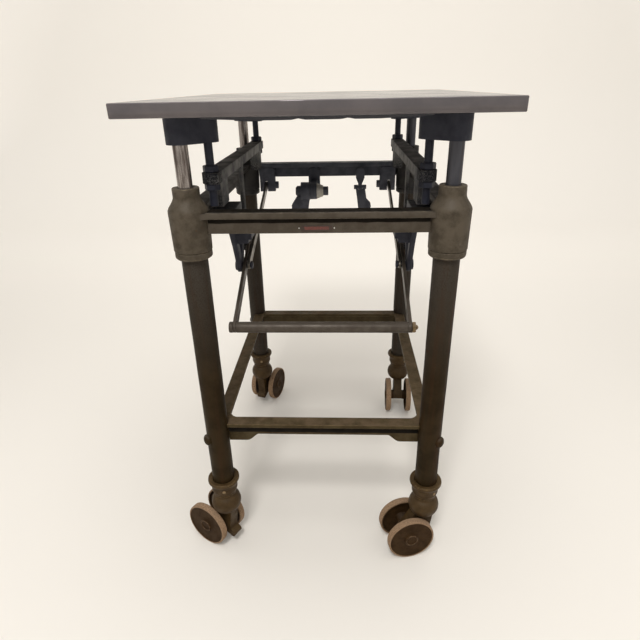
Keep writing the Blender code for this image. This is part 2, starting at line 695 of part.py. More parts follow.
def build_bail(finishes, carrier):
    """Builds the bail about its pivot: two lever arms with tail pins, and the grip bolted between them."""
    way = Vector((0.0, -math.cos(BAIL_SLOPE), -math.sin(BAIL_SLOPE)))
    grip = way * BAIL_REACH
    tail = way * -TAIL_REACH
    half = ARM_HALF_WIDTH
    outline = arc((BAIL_REACH, 0.0), half, -math.pi / 2, math.pi / 2, 6)
    outline += arc((-TAIL_REACH, 0.0), half, math.pi / 2, math.pi * 1.5, 6)
    yoke_outer = ARM_OUTER + YOKE_GAP + YOKE_THICKNESS
    for name, side in SIDES:
        x_low, _ = span(side, ARM_INNER, ARM_OUTER)
        flat = Matrix((way, Vector((0.0, -way.z, way.y)), Vector((1.0, 0.0, 0.0)))).transposed().to_4x4()
        mesh = bmesh.new()
        add_prism(mesh, outline, Matrix.Translation((x_low, 0.0, 0.0)) @ flat, ARM_THICKNESS)
        arm = add_piece(f"bail_arm_{name}", mesh, finishes["worn_steel"], carrier)
        mesh = bmesh.new()
        middle = side * (ARM_INNER + ARM_OUTER) / 2
        far = side * (yoke_outer + SLOT_EASE)
        add_rod(mesh, (middle, tail.y, tail.z), (far, tail.y, tail.z), TAIL_PIN_RADIUS)
        combine(arm, add_tool(f"bail_arm_{name}_pin", mesh, carrier), "UNION")
        mesh = bmesh.new()
        deep = x_low - ARM_THICKNESS
        wide = x_low + 2 * ARM_THICKNESS
        add_rod(mesh, (deep, 0.0, 0.0), (wide, 0.0, 0.0), PIVOT_RADIUS + RUN_GAP)
        add_rod(mesh, (deep, grip.y, grip.z), (wide, grip.y, grip.z), BAIL_BOLT_RADIUS + SEAT_GAP)
        combine(arm, add_tool(f"bail_arm_{name}_holes", mesh, carrier), "DIFFERENCE")
    reach = ARM_INNER - SEAT_GAP
    head = ARM_OUTER + SEAT_GAP
    profile = [
        (0.0, -head - BAIL_HEAD_HEIGHT),
        (BAIL_HEAD_RADIUS, -head - BAIL_HEAD_HEIGHT),
        (BAIL_HEAD_RADIUS, -head),
        (BAIL_BOLT_RADIUS, -head),
        (BAIL_BOLT_RADIUS, -reach),
        (BAIL_TUBE_RADIUS, -reach),
        (BAIL_TUBE_RADIUS, reach),
        (BAIL_BOLT_RADIUS, reach),
        (BAIL_BOLT_RADIUS, head),
        (BAIL_HEAD_RADIUS, head),
        (BAIL_HEAD_RADIUS, head + BAIL_NUT_HEIGHT),
        (BAIL_BOLT_RADIUS, head + BAIL_NUT_HEIGHT),
        (0.0, head + BAIL_NUT_HEIGHT + BAIL_BOLT_RADIUS),
    ]
    mesh = bmesh.new()
    add_turned(mesh, profile, ROUND, axis_frame(grip, (1.0, 0.0, 0.0)))
    add_piece("bail_grip", mesh, finishes["worn_steel"], carrier)


def build_hangers(finishes):
    """Builds the brackets under the side rails, each with the stud on which the bail turns."""
    skirt = RAIL_BOTTOM - HANGER_SKIRT
    pad_top = RAIL_BOTTOM - SEAT_GAP
    pad_low = pad_top - HANGER_PAD_HEIGHT
    front = PIVOT_Y - HANGER_FRONT
    rear = PIVOT_Y + HANGER_REAR
    boss = HANGER_BOSS_RADIUS
    inner = ARM_OUTER + HANGER_GAP
    outer = inner + HANGER_THICKNESS
    outline = [(front, pad_top), (front, pad_low), (PIVOT_Y - HANGER_REAR, skirt)]
    outline += arc((PIVOT_Y, PIVOT_Z), boss, math.pi, 2 * math.pi, 8)
    outline += [(rear, skirt), (rear, pad_top)]
    window = [
        (PIVOT_Y, PIVOT_Z + boss + HANGER_LEG / 2),
        (PIVOT_Y + HANGER_REAR / 2, skirt),
        (PIVOT_Y + HANGER_REAR / 2, skirt + HANGER_LEG),
        (PIVOT_Y - HANGER_REAR / 2, skirt + HANGER_LEG),
        (PIVOT_Y - HANGER_REAR / 2, skirt),
    ]
    eye_outer = ARM_INNER - RUN_GAP
    nut = eye_outer - STAY_THICKNESS - STAY_PLAY
    head = outer + PIVOT_HEAD_HEIGHT
    stud = [
        (0.0, nut - PIVOT_NUT_HEIGHT),
        (PIVOT_NUT_RADIUS, nut - PIVOT_NUT_HEIGHT),
        (PIVOT_NUT_RADIUS, nut),
        (PIVOT_STUD_RADIUS, nut),
        (PIVOT_STUD_RADIUS, eye_outer),
        (PIVOT_RADIUS, eye_outer),
        (PIVOT_RADIUS, inner + HANGER_THICKNESS / 2),
        (PIVOT_HEAD_RADIUS, inner + HANGER_THICKNESS / 2),
        (PIVOT_HEAD_RADIUS, head),
        (0.0, head),
    ]
    block_front = PIVOT_Y - HANGER_BLOCK_FRONT
    block_rear = PIVOT_Y + HANGER_BLOCK_REAR
    block_low = RAIL_BOTTOM - HANGER_BLOCK_DOWN
    block_inner = outer - HANGER_BLOCK_REACH
    block = [
        (block_inner, pad_low + HANGER_STEP),
        (block_inner, block_low + HANGER_STEP_RISE),
        (block_inner + HANGER_STEP, block_low + HANGER_STEP_RISE),
        (block_inner + HANGER_STEP, block_low),
        (outer - HANGER_STEP, block_low),
        (outer - HANGER_STEP, block_low + HANGER_STEP_RISE),
        (outer, block_low + HANGER_STEP_RISE),
        (outer, pad_low + HANGER_STEP),
    ]
    for name, side in SIDES:
        x_low, _ = span(side, inner, outer)
        mesh = bmesh.new()
        add_prism(mesh, outline, side_frame(x_low), HANGER_THICKNESS)
        hanger = add_piece(f"bail_hanger_{name}", mesh, finishes["cast_iron"])
        mesh = bmesh.new()
        pad = span(side, inner + HANGER_THICKNESS / 2, LEG_X + WEB_OUT)
        add_box(mesh, (pad[0], front, pad_low), (pad[1], rear, pad_top))
        combine(hanger, add_tool(f"bail_hanger_{name}_pad", mesh), "UNION")
        mesh = bmesh.new()
        add_prism(mesh, [(side * x, z) for x, z in block], front_frame(block_rear), block_rear - block_front)
        combine(hanger, add_tool(f"bail_hanger_{name}_block", mesh), "UNION")
        mesh = bmesh.new()
        add_prism(mesh, window, side_frame(x_low - HANGER_THICKNESS), 3 * HANGER_THICKNESS)
        combine(hanger, add_tool(f"bail_hanger_{name}_window", mesh), "DIFFERENCE")
        mesh = bmesh.new()
        add_turned(mesh, stud, SMALL, axis_frame((0.0, PIVOT_Y, PIVOT_Z), (side, 0.0, 0.0)))
        combine(hanger, add_tool(f"bail_hanger_{name}_stud", mesh), "UNION")


def build_stays(finishes):
    """Builds the slotted brackets on the rear rail and the stay bars from their bolts to the bail's studs."""
    axis_y = BRACKET_FACE - REAR_BRACKET_DEPTH / 2
    axis_z = RAIL_BOTTOM - BRACKET_BOLT_DROP
    half = REAR_BRACKET_HALF
    bend = REAR_BRACKET_ROUND
    straight = BRACKET_TOP - bend
    low = RAIL_BOTTOM - REAR_BRACKET_DOWN
    inner = REAR_BRACKET_X - half
    outer = REAR_BRACKET_X + half
    slot_half = (STAY_THICKNESS + STAY_PLAY) / 2
    eye = ARM_INNER - RUN_GAP - slot_half
    slot_top = axis_z + PIVOT_STUD_RADIUS + STAY_EYE_RIM + STAY_PLAY
    bolt = [
        (0.0, inner - BRACKET_NUT_HEIGHT),
        (BRACKET_NUT_RADIUS, inner - BRACKET_NUT_HEIGHT),
        (BRACKET_NUT_RADIUS, inner + SEAT_GAP),
        (PIVOT_STUD_RADIUS, inner + SEAT_GAP),
        (PIVOT_STUD_RADIUS, outer - bend),
        (0.0, outer - bend),
    ]
    for name, side in SIDES:
        centre = side * REAR_BRACKET_X
        outline = [(centre - half, low), (centre + half, low)]
        outline += arc((centre + half - bend, straight), bend, 0.0, math.pi / 2, 4)
        outline += arc((centre - half + bend, straight), bend, math.pi / 2, math.pi, 4)
        mesh = bmesh.new()
        add_prism(mesh, outline, front_frame(BRACKET_FACE), REAR_BRACKET_DEPTH)
        bracket = add_piece(f"rear_bracket_{name}", mesh, finishes["cast_iron"])
        x_low, x_high = span(side, eye - slot_half, eye + slot_half)
        mesh = bmesh.new()
        add_box(mesh, (x_low, axis_y - half, low - half), (x_high, axis_y + half, slot_top))
        combine(bracket, add_tool(f"rear_bracket_{name}_slot", mesh), "DIFFERENCE")
        mesh = bmesh.new()
        add_turned(mesh, bolt, SMALL, axis_frame((0.0, axis_y, axis_z), (side, 0.0, 0.0)))
        combine(bracket, add_tool(f"rear_bracket_{name}_bolt", mesh), "UNION")
        rear_eye = Vector((side * eye, axis_y, axis_z))
        front_eye = Vector((side * eye, PIVOT_Y, PIVOT_Z))
        add_stay(f"stay_bar_{name}", rear_eye, front_eye, finishes["bright_steel"])


def add_stay(name, rear_eye, front_eye, finish):
    """Makes a flat stay bar with an eye at each end."""
    run = front_eye - rear_eye
    along = run.normalized()
    across = Vector((1.0, 0.0, 0.0))
    across = (across - along * across.dot(along)).normalized()
    turn = Matrix((along, across.cross(along), across)).transposed().to_4x4()
    place = Matrix.Translation(rear_eye - across * STAY_THICKNESS / 2) @ turn
    hole = PIVOT_STUD_RADIUS + RUN_GAP
    end = hole + STAY_EYE_RIM
    outline = arc((run.length, 0.0), end, -math.pi / 2, math.pi / 2, 6)
    outline += arc((0.0, 0.0), end, math.pi / 2, math.pi * 1.5, 6)
    mesh = bmesh.new()
    add_prism(mesh, outline, place, STAY_THICKNESS)
    stay = add_piece(name, mesh, finish)
    mesh = bmesh.new()
    reach = across * 2 * STAY_THICKNESS
    for point in (rear_eye, front_eye):
        add_rod(mesh, point - reach, point + reach, hole)
    combine(stay, add_tool(f"{name}_eyes", mesh), "DIFFERENCE")


def build_lock(finishes):
    """Builds the lock: a bracket on the rear rail with its clamp bolt, and the lever on the bolt."""
    axis_y = BRACKET_FACE - LOCK_AXIS_Y
    axis_z = RAIL_BOTTOM - LOCK_AXIS_DROP
    outline = [(LOCK_X - LOCK_HALF, axis_z), (LOCK_X + LOCK_HALF, axis_z)]
    outline += arc((LOCK_X, BRACKET_TOP - LOCK_HALF), LOCK_HALF, 0.0, math.pi, 8)
    mesh = bmesh.new()
    add_prism(mesh, outline, front_frame(BRACKET_FACE), LOCK_LUG_THICKNESS)
    bracket = add_piece("lock_bracket", mesh, finishes["cast_iron"])
    left = LOCK_X - LOCK_ARM_HALF
    right = LOCK_X + LOCK_ARM_HALF
    root = BRACKET_FACE - LOCK_LUG_THICKNESS / 2
    arm = arc((axis_y, axis_z), LOCK_BOSS_RADIUS, math.pi / 2, math.pi * 1.5, 8)
    arm += [(root, axis_z), (root, axis_z + LOCK_BOSS_RADIUS)]
    mesh = bmesh.new()
    add_prism(mesh, arm, side_frame(left), 2 * LOCK_ARM_HALF)
    combine(bracket, add_tool("lock_bracket_arm", mesh), "UNION")
    hub_high = left - RUN_GAP
    hub_step = hub_high - LOCK_HUB_LENGTH
    hub_low = hub_step - LOCK_CAP_LENGTH
    head = hub_low - RUN_GAP
    washer_high = right + LOCK_WASHER_LENGTH
    nut_high = washer_high + LOCK_NUT_LENGTH
    bolt = [
        (0.0, head - LOCK_HEAD_HEIGHT),
        (LOCK_HEAD_RADIUS, head - LOCK_HEAD_HEIGHT),
        (LOCK_HEAD_RADIUS, head),
        (LOCK_BOLT_RADIUS, head),
        (LOCK_BOLT_RADIUS, LOCK_X),
        (LOCK_WASHER_RADIUS, LOCK_X),
        (LOCK_WASHER_RADIUS, right),
        (LOCK_WASHER_END, washer_high),
        (LOCK_NUT_RADIUS, washer_high),
        (LOCK_NUT_RADIUS, nut_high),
        (0.0, nut_high),
    ]
    mesh = bmesh.new()
    add_turned(mesh, bolt, SMALL, axis_frame((0.0, axis_y, axis_z), (1.0, 0.0, 0.0)))
    combine(bracket, add_tool("lock_bracket_bolt", mesh), "UNION")
    carrier = add_empty("lock_axis", (0.0, axis_y, axis_z))
    hub_bore = LOCK_BOLT_RADIUS + RUN_GAP
    hub = [
        (LOCK_CAP_RADIUS, hub_low),
        (LOCK_CAP_RADIUS, hub_step),
        (LOCK_HUB_RADIUS, hub_step),
        (LOCK_HUB_RADIUS, hub_high),
        (hub_bore, hub_high),
        (hub_bore, hub_low),
    ]
    mesh = bmesh.new()
    add_turned(mesh, hub, ROUND, axis_frame((0.0, 0.0, 0.0), (1.0, 0.0, 0.0)))
    lever = add_piece("lock_lever", mesh, finishes["cast_iron"], carrier)
    far = hub_low - LOCK_LEVER_LEAN
    near = hub_high - LOCK_LEVER_TUCK
    bend = LOCK_LEVER_ROUND
    grip = [
        (hub_low, -LOCK_BOLT_RADIUS - LOCK_CAP_RADIUS / 2),
        (far, -LOCK_LEVER_LENGTH / 2),
        (far, bend - LOCK_LEVER_LENGTH),
        (far + bend, -LOCK_LEVER_LENGTH),
        (near - bend, -LOCK_LEVER_LENGTH),
        (near, bend - LOCK_LEVER_LENGTH),
        (hub_high, -LOCK_BOLT_RADIUS - LOCK_CAP_RADIUS / 2),
    ]
    mesh = bmesh.new()
    add_prism(mesh, grip, front_frame(LOCK_LEVER_HALF), 2 * LOCK_LEVER_HALF)
    combine(lever, add_tool("lock_lever_grip", mesh, carrier), "UNION")


def build_release(finishes):
    """Builds the release lever: a grip whose two knuckles hang on the neck of a bracket on the rear rail."""
    axis_y = BRACKET_FACE - RELEASE_AXIS_Y
    axis_z = RAIL_BOTTOM - RELEASE_AXIS_DROP
    neck = RELEASE_NECK_HALF
    lug = [(neck, 0.0), (neck, RELEASE_NECK_RISE), (RELEASE_LUG_HALF, RELEASE_AXIS_DROP)]
    lug += arc((0.0, BRACKET_TOP - RELEASE_LUG_HALF - axis_z), RELEASE_LUG_HALF, 0.0, math.pi, 8)
    lug += [(-x, z) for x, z in reversed(lug[:3])]
    place = Matrix.Translation((RELEASE_X, 0.0, axis_z))
    mesh = bmesh.new()
    add_prism(mesh, lug, place @ front_frame(axis_y + neck), 2 * neck)
    bracket = add_piece("release_bracket", mesh, finishes["cast_iron"])
    mesh = bmesh.new()
    shank = RELEASE_SHANK_HALF
    shank_top = BRACKET_TOP - RELEASE_LUG_HALF
    add_box(mesh, (RELEASE_X - shank, axis_y, RAIL_BOTTOM), (RELEASE_X + shank, BRACKET_FACE, shank_top))
    combine(bracket, add_tool("release_bracket_shank", mesh), "UNION")
    for label, reach, radius in (
        ("eye", RELEASE_EYE_HALF, RELEASE_KNUCKLE),
        ("pin", RELEASE_PIN_REACH, RELEASE_PIN_RADIUS),
    ):
        start = (RELEASE_X - reach, axis_y, axis_z)
        mesh = bmesh.new()
        add_rod(mesh, start, (RELEASE_X + reach, axis_y, axis_z), radius)
        combine(bracket, add_tool(f"release_bracket_{label}", mesh), "UNION")
    carrier = add_empty("release_axis", (RELEASE_X, axis_y, axis_z))
    mesh = bmesh.new()
    add_prism(mesh, RELEASE_GRIP, front_frame(RELEASE_GRIP_DEPTH / 2), RELEASE_GRIP_DEPTH)
    lever = add_piece("release_lever", mesh, finishes["cast_iron"], carrier)
    reach = RELEASE_KNUCKLE_REACH
    mesh = bmesh.new()
    add_rod(mesh, (-reach, 0.0, 0.0), (reach, 0.0, 0.0), RELEASE_KNUCKLE)
    combine(lever, add_tool("release_lever_knuckles", mesh, carrier), "UNION")
    slot = RELEASE_EYE_HALF + RUN_GAP
    clear = 2 * RELEASE_KNUCKLE
    mesh = bmesh.new()
    add_box(mesh, (-slot, -clear, -RELEASE_KNUCKLE - 2 * RUN_GAP), (slot, clear, clear))
    combine(lever, add_tool("release_lever_slot", mesh, carrier), "DIFFERENCE")
    mesh = bmesh.new()
    add_rod(mesh, (-clear - reach, 0.0, 0.0), (clear + reach, 0.0, 0.0), RELEASE_PIN_RADIUS + RUN_GAP)
    combine(lever, add_tool("release_lever_bore", mesh, carrier), "DIFFERENCE")


def socket_profile():
    """Returns the ring profile of a caster socket: a cup for the leg over a bored body."""
    cup = LEG_RADIUS + SEAT_GAP
    floor = LEG_BOTTOM - SEAT_GAP
    body = floor - COLLAR_LIP
    stem = STEM_RADIUS + RUN_GAP
    lip = COLLAR_LIP
    return [
        (SOCKET_CUP_RADIUS - lip, SOCKET_CUP_TOP),
        (SOCKET_CUP_RADIUS, SOCKET_CUP_TOP - lip),
        (SOCKET_CUP_RADIUS, body + lip),
        (SOCKET_BODY_RADIUS, body),
        (SOCKET_BODY_RADIUS, (body + SOCKET_BOTTOM) / 2),
        (SOCKET_NECK_RADIUS, SOCKET_BOTTOM),
        (stem, SOCKET_BOTTOM),
        (stem, floor),
        (cup, floor),
        (cup, SOCKET_CUP_TOP),
    ]


def fork_profile():
    """Returns the turned part of a caster fork: stem, neck and the flattened ball."""
    neck = SOCKET_BOTTOM - SEAT_GAP
    points = [(0.0, neck + STEM_LENGTH), (STEM_RADIUS, neck + STEM_LENGTH), (STEM_RADIUS, neck)]
    top_angle = math.asin((neck - BALL_CENTRE) / BALL_HALF_HEIGHT * 0.98)
    steps = 8
    for step in range(steps):
        angle = top_angle - (top_angle + math.pi / 2) * step / steps
        height = BALL_CENTRE + BALL_HALF_HEIGHT * math.sin(angle)
        swell = BALL_RADIUS * math.cos(angle)
        points.append((max(swell, SOCKET_NECK_RADIUS - COLLAR_LIP) if step == 0 else swell, height))
    points.append((0.0, BALL_CENTRE - BALL_HALF_HEIGHT))
    return points


def fork_web():
    """Returns the outline of the fork's web in trail and height: axle boss behind, rounded toe in front."""
    top = BALL_CENTRE - BALL_HALF_HEIGHT / 2
    half = BALL_RADIUS * 0.62
    toe = AXLE_BOSS_RADIUS / 2
    toe_centre = (-half + toe / 2, TOE_CLEARANCE + toe)
    outline = [(half, top)]
    outline.append((-half, top))
    outline += arc(toe_centre, toe, math.pi, 1.75 * math.pi, 5)
    outline += arc((TRAIL, AXLE_HEIGHT), AXLE_BOSS_RADIUS, 1.35 * math.pi, 2.2 * math.pi, 7)
    return outline


def wheel_profile():
    """Returns the turned profile of a wheel about its axle: capped outside, dished inside, blind bore."""
    half = WHEEL_WIDTH / 2
    bevel = COLLAR_LIP / 2
    web = half - WHEEL_DISH
    hub_end = WHEEL_SPREAD - FORK_HALF_THICKNESS - RUN_GAP
    bore = AXLE_RADIUS + RUN_GAP
    floor = half + HUB_CAP_HEIGHT - HUB_CAP_FLOOR
    return [
        (0.0, half + HUB_CAP_HEIGHT),
        (HUB_RADIUS - bevel, half + HUB_CAP_HEIGHT),
        (HUB_RADIUS, half - bevel),
        (WHEEL_RADIUS - WHEEL_RIM, half - bevel),
        (WHEEL_RADIUS - bevel, half),
        (WHEEL_RADIUS, half - bevel),
        (WHEEL_RADIUS, -half),
        (WHEEL_RADIUS - WHEEL_RIM, -half),
        (WHEEL_RADIUS - WHEEL_RIM, -web),
        (HUB_RADIUS, -web),
        (HUB_RADIUS, -hub_end),
        (bore, -hub_end),
        (bore, floor),
        (0.0, floor),
    ]


def build_casters(finishes):
    """Builds the sockets, and on each a swivelling fork with two wheels on one axle."""
    for (name, _, _, trail), (x, y) in zip(CORNERS, leg_places()):
        mesh = bmesh.new()
        add_turned(mesh, socket_profile(), ROUND, Matrix.Translation((x, y, 0.0)))
        add_piece(f"caster_socket_{name}", mesh, finishes["cast_iron"])
        swivel = add_empty(f"caster_swivel_{name}", (x, y, 0.0), trail)
        mesh = bmesh.new()
        add_turned(mesh, fork_profile(), ROUND)
        fork = add_piece(f"caster_fork_{name}", mesh, finishes["cast_iron"], swivel)
        mesh = bmesh.new()
        add_prism(mesh, fork_web(), front_frame(FORK_HALF_THICKNESS), 2 * FORK_HALF_THICKNESS)
        combine(fork, add_tool(f"caster_web_{name}", mesh, swivel), "UNION")
        mesh = bmesh.new()
        reach = WHEEL_SPREAD + WHEEL_WIDTH / 2 + HUB_CAP_HEIGHT - HUB_CAP_FLOOR - RUN_GAP
        add_rod(mesh, (TRAIL, -reach, AXLE_HEIGHT), (TRAIL, reach, AXLE_HEIGHT), AXLE_RADIUS)
        combine(fork, add_tool(f"caster_axle_{name}", mesh, swivel), "UNION")
        for label, side in SIDES:
            mesh = bmesh.new()
            add_turned(mesh, wheel_profile(), FINE, axis_frame((0.0, 0.0, 0.0), (0.0, side, 0.0)))
            wheel = add_piece(f"caster_wheel_{name}_{label}", mesh, finishes["wheel_iron"], swivel)
            wheel.location = (TRAIL, side * WHEEL_SPREAD, AXLE_HEIGHT)


def main():
    """Builds the whole table."""
    clear_scene()
    finishes = {
        "top_steel": make_material("top_steel", (0.115, 0.105, 0.105), 0.45, 0.7),
        "cast_iron": make_material("cast_iron", (0.085, 0.075, 0.060), 0.60, 0.4),
        "leg_paint": make_material("leg_paint", (0.060, 0.048, 0.042), 0.50, 0.3),
        "rail_iron": make_material("rail_iron", (0.090, 0.078, 0.065), 0.55, 0.4),
        "bright_steel": make_material("bright_steel", (0.55, 0.52, 0.48), 0.30, 1.0),
        "dark_steel": make_material("dark_steel", (0.035, 0.035, 0.040), 0.50, 0.5),
        "worn_steel": make_material("worn_steel", (0.110, 0.090, 0.080), 0.45, 0.6),
        "wheel_iron": make_material("wheel_iron", (0.120, 0.075, 0.055), 0.55, 0.4),
    }
    build_legs(finishes)
    build_upper_rails(finishes)
    build_lower_rails(finishes)
    top = add_empty("top_lift", (0.0, 0.0, 0.0))
    hanger_bores = build_top(finishes, top)
    build_lift_bars(finishes, top, hanger_bores)
    build_hanger_rods(finishes, top)
    build_bail(finishes, add_empty("bail_pivot", (0.0, PIVOT_Y, PIVOT_Z)))
    build_hangers(finishes)
    build_stays(finishes)
    build_lock(finishes)
    build_release(finishes)
    build_casters(finishes)


main()
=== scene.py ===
"""Dresses an adjustable printers table: worn paint, old castings and bare steel around its moving frame.

Metres, +Z up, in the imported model's own frame: the origin is on the floor between the legs, and -Y is
the front.
"""
import json
import logging
import math
from dataclasses import dataclass
from enum import Enum
from typing import Any, Sequence

import bmesh
import bpy
from mathutils import Matrix, Vector, noise

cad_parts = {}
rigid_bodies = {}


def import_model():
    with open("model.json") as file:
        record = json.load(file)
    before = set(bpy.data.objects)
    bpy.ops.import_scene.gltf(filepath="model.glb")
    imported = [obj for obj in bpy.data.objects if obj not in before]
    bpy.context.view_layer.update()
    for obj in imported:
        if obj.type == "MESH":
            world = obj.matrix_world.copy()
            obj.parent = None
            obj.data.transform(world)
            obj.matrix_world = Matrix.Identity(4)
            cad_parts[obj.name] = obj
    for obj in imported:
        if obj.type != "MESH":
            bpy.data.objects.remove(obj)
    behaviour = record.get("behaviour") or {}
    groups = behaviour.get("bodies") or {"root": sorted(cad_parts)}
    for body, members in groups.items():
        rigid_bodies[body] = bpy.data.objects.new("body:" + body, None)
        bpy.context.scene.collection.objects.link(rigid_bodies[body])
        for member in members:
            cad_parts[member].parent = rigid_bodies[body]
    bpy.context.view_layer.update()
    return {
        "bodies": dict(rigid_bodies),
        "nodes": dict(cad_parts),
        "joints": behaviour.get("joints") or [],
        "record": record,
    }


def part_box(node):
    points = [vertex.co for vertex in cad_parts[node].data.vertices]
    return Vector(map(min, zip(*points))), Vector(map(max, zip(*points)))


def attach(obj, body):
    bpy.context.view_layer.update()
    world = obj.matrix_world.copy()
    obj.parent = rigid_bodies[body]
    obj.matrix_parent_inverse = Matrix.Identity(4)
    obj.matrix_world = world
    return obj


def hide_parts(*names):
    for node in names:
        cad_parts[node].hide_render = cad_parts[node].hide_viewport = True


LOG = logging.getLogger("printers_table")

RGB = tuple[float, float, float]
Point = tuple[float, float]
Outline = list[Point]
Spot = tuple[Vector, Vector]
Socket = bpy.types.NodeSocket
Tree = bpy.types.NodeTree

CORNERS = ("front_left", "front_right", "rear_left", "rear_right")
SIDES = ("left", "right")
EDGE = "edge"
BAND = "band"
CREASE = math.radians(32.0)
SMOOTH = math.radians(38.0)
WORN_BEND = math.radians(28.0)
FLAT = math.radians(0.5)
MERGE = 0.00002
CORNER_SHARE = 0.45
FINE = 64
ROUND = 48
MEDIUM = 32
UPRIGHT = Matrix.Rotation(math.pi / 2, 4, "X")
RAGGED_STEPS = 60
RAGGED_STRAY = 0.0012
# Skins that carry painted shade: their thickness, and the raggedness of their edges.
SHADE_SKIN = 0.0003
SHADE_PITCH = 40.0
SHADE_ROW = 10.0
SHIFT = (1.0, 0.7, 0.4)
SPECK_SCALE = 520.0
SPECKS = (0.34, 0.56, 0.35, 1.0)
STAIN_SHARE = 0.85
STAIN_DULL = 0.20
DUST_AND_SHADE_DULL = 0.25
SCRAPE = 0.35
BLISTER = 0.25
BUMP_STRENGTH = 0.8
DOME_SEGMENTS = 24
DOME_RINGS = 14
NUT_CHAMFER = 0.14
NUT_NARROW = 0.90


class Wiring:
    """Adds nodes to one tree and links them by socket."""

    def __init__(self, tree: Tree) -> None:
        """Keeps the tree that the nodes go into."""
        self.tree = tree

    def add(self, kind: str, inputs: dict[Any, Any] | None = None, **settings: Any) -> bpy.types.Node:
        """Adds one node.

        Args:
            kind: the node's type name.
            inputs: for each socket name or index, a value or the output socket that feeds it.
            **settings: the node's own properties.

        Returns:
            The new node.
        """
        node = self.tree.nodes.new(kind)
        for name, value in settings.items():
            setattr(node, name, value)
        self.feed(node, inputs or {})
        return node

    def feed(self, node: bpy.types.Node, inputs: dict[Any, Any]) -> None:
        """Sets a node's inputs, each from a value or from the output socket that feeds it.

        Args:
            node: the node.
            inputs: the inputs by socket name or index.
        """
        for key, value in inputs.items():
            if isinstance(value, Socket):
                self.tree.links.new(value, node.inputs[key])
            else:
                node.inputs[key].default_value = value

    def socket(self, name: str, kind: str, way: str = "INPUT") -> None:
        """Gives the tree one more input or output."""
        self.tree.interface.new_socket(name=name, in_out=way, socket_type=f"NodeSocket{kind}")

    def math(self, operation: str, first: Any, second: Any = 0.0) -> Socket:
        """Returns the value of a Math node."""
        return self.add("ShaderNodeMath", {0: first, 1: second}, operation=operation).outputs[0]

    def times(self, first: Any, second: Any) -> Socket:
        """Returns a product."""
        return self.math("MULTIPLY", first, second)

    def plus(self, first: Any, second: Any) -> Socket:
        """Returns a sum."""
        return self.math("ADD", first, second)

    def blend(self, factor: Any, first: Any, second: Any) -> Socket:
        """Returns a colour mixed from two others."""
        mixed = self.add("ShaderNodeMix", {0: factor, 6: first, 7: second}, data_type="RGBA")
        return mixed.outputs[2]

    def step(self, value: Any, low: Any, high: Any, start: float = 0.0, end: float = 1.0) -> Socket:
        """Returns a value that rises smoothly from start to end between low and high."""
        inputs = {0: value, 1: low, 2: high, 3: start, 4: end}
        return self.add("ShaderNodeMapRange", inputs, interpolation_type="SMOOTHSTEP").outputs[0]

    def noise(self, vector: Any, scale: Any, detail: float = 4.0, rough: float = 0.6) -> Socket:
        """Returns a noise value over the surface."""
        inputs = {"Vector": vector, "Scale": scale, "Detail": detail, "Roughness": rough}
        return self.add("ShaderNodeTexNoise", inputs).outputs[0]


class ShaderGroup(Wiring):
    """A shader node group being wired; its first input is the pattern's vector."""

    def __init__(self, name: str, inputs: Sequence[str]) -> None:
        """Starts the group.

        Args:
            name: the group's name.
            inputs: the names of its number inputs, after Vector.
        """
        super().__init__(bpy.data.node_groups.new(name, "ShaderNodeTree"))
        self.socket("Vector", "Vector")
        for label in inputs:
            self.socket(label, "Float")
        self.given = self.add("NodeGroupInput").outputs

    def close(self, outputs: dict[str, Any]) -> Tree:
        """Names and feeds the group's number outputs, and returns its tree.

        Args:
            outputs: for each output's name, the socket that feeds it.

        Returns:
            The group's tree.
        """
        for label in outputs:
            self.socket(label, "Float", "OUTPUT")
        self.add("NodeGroupOutput", outputs)
        return self.tree


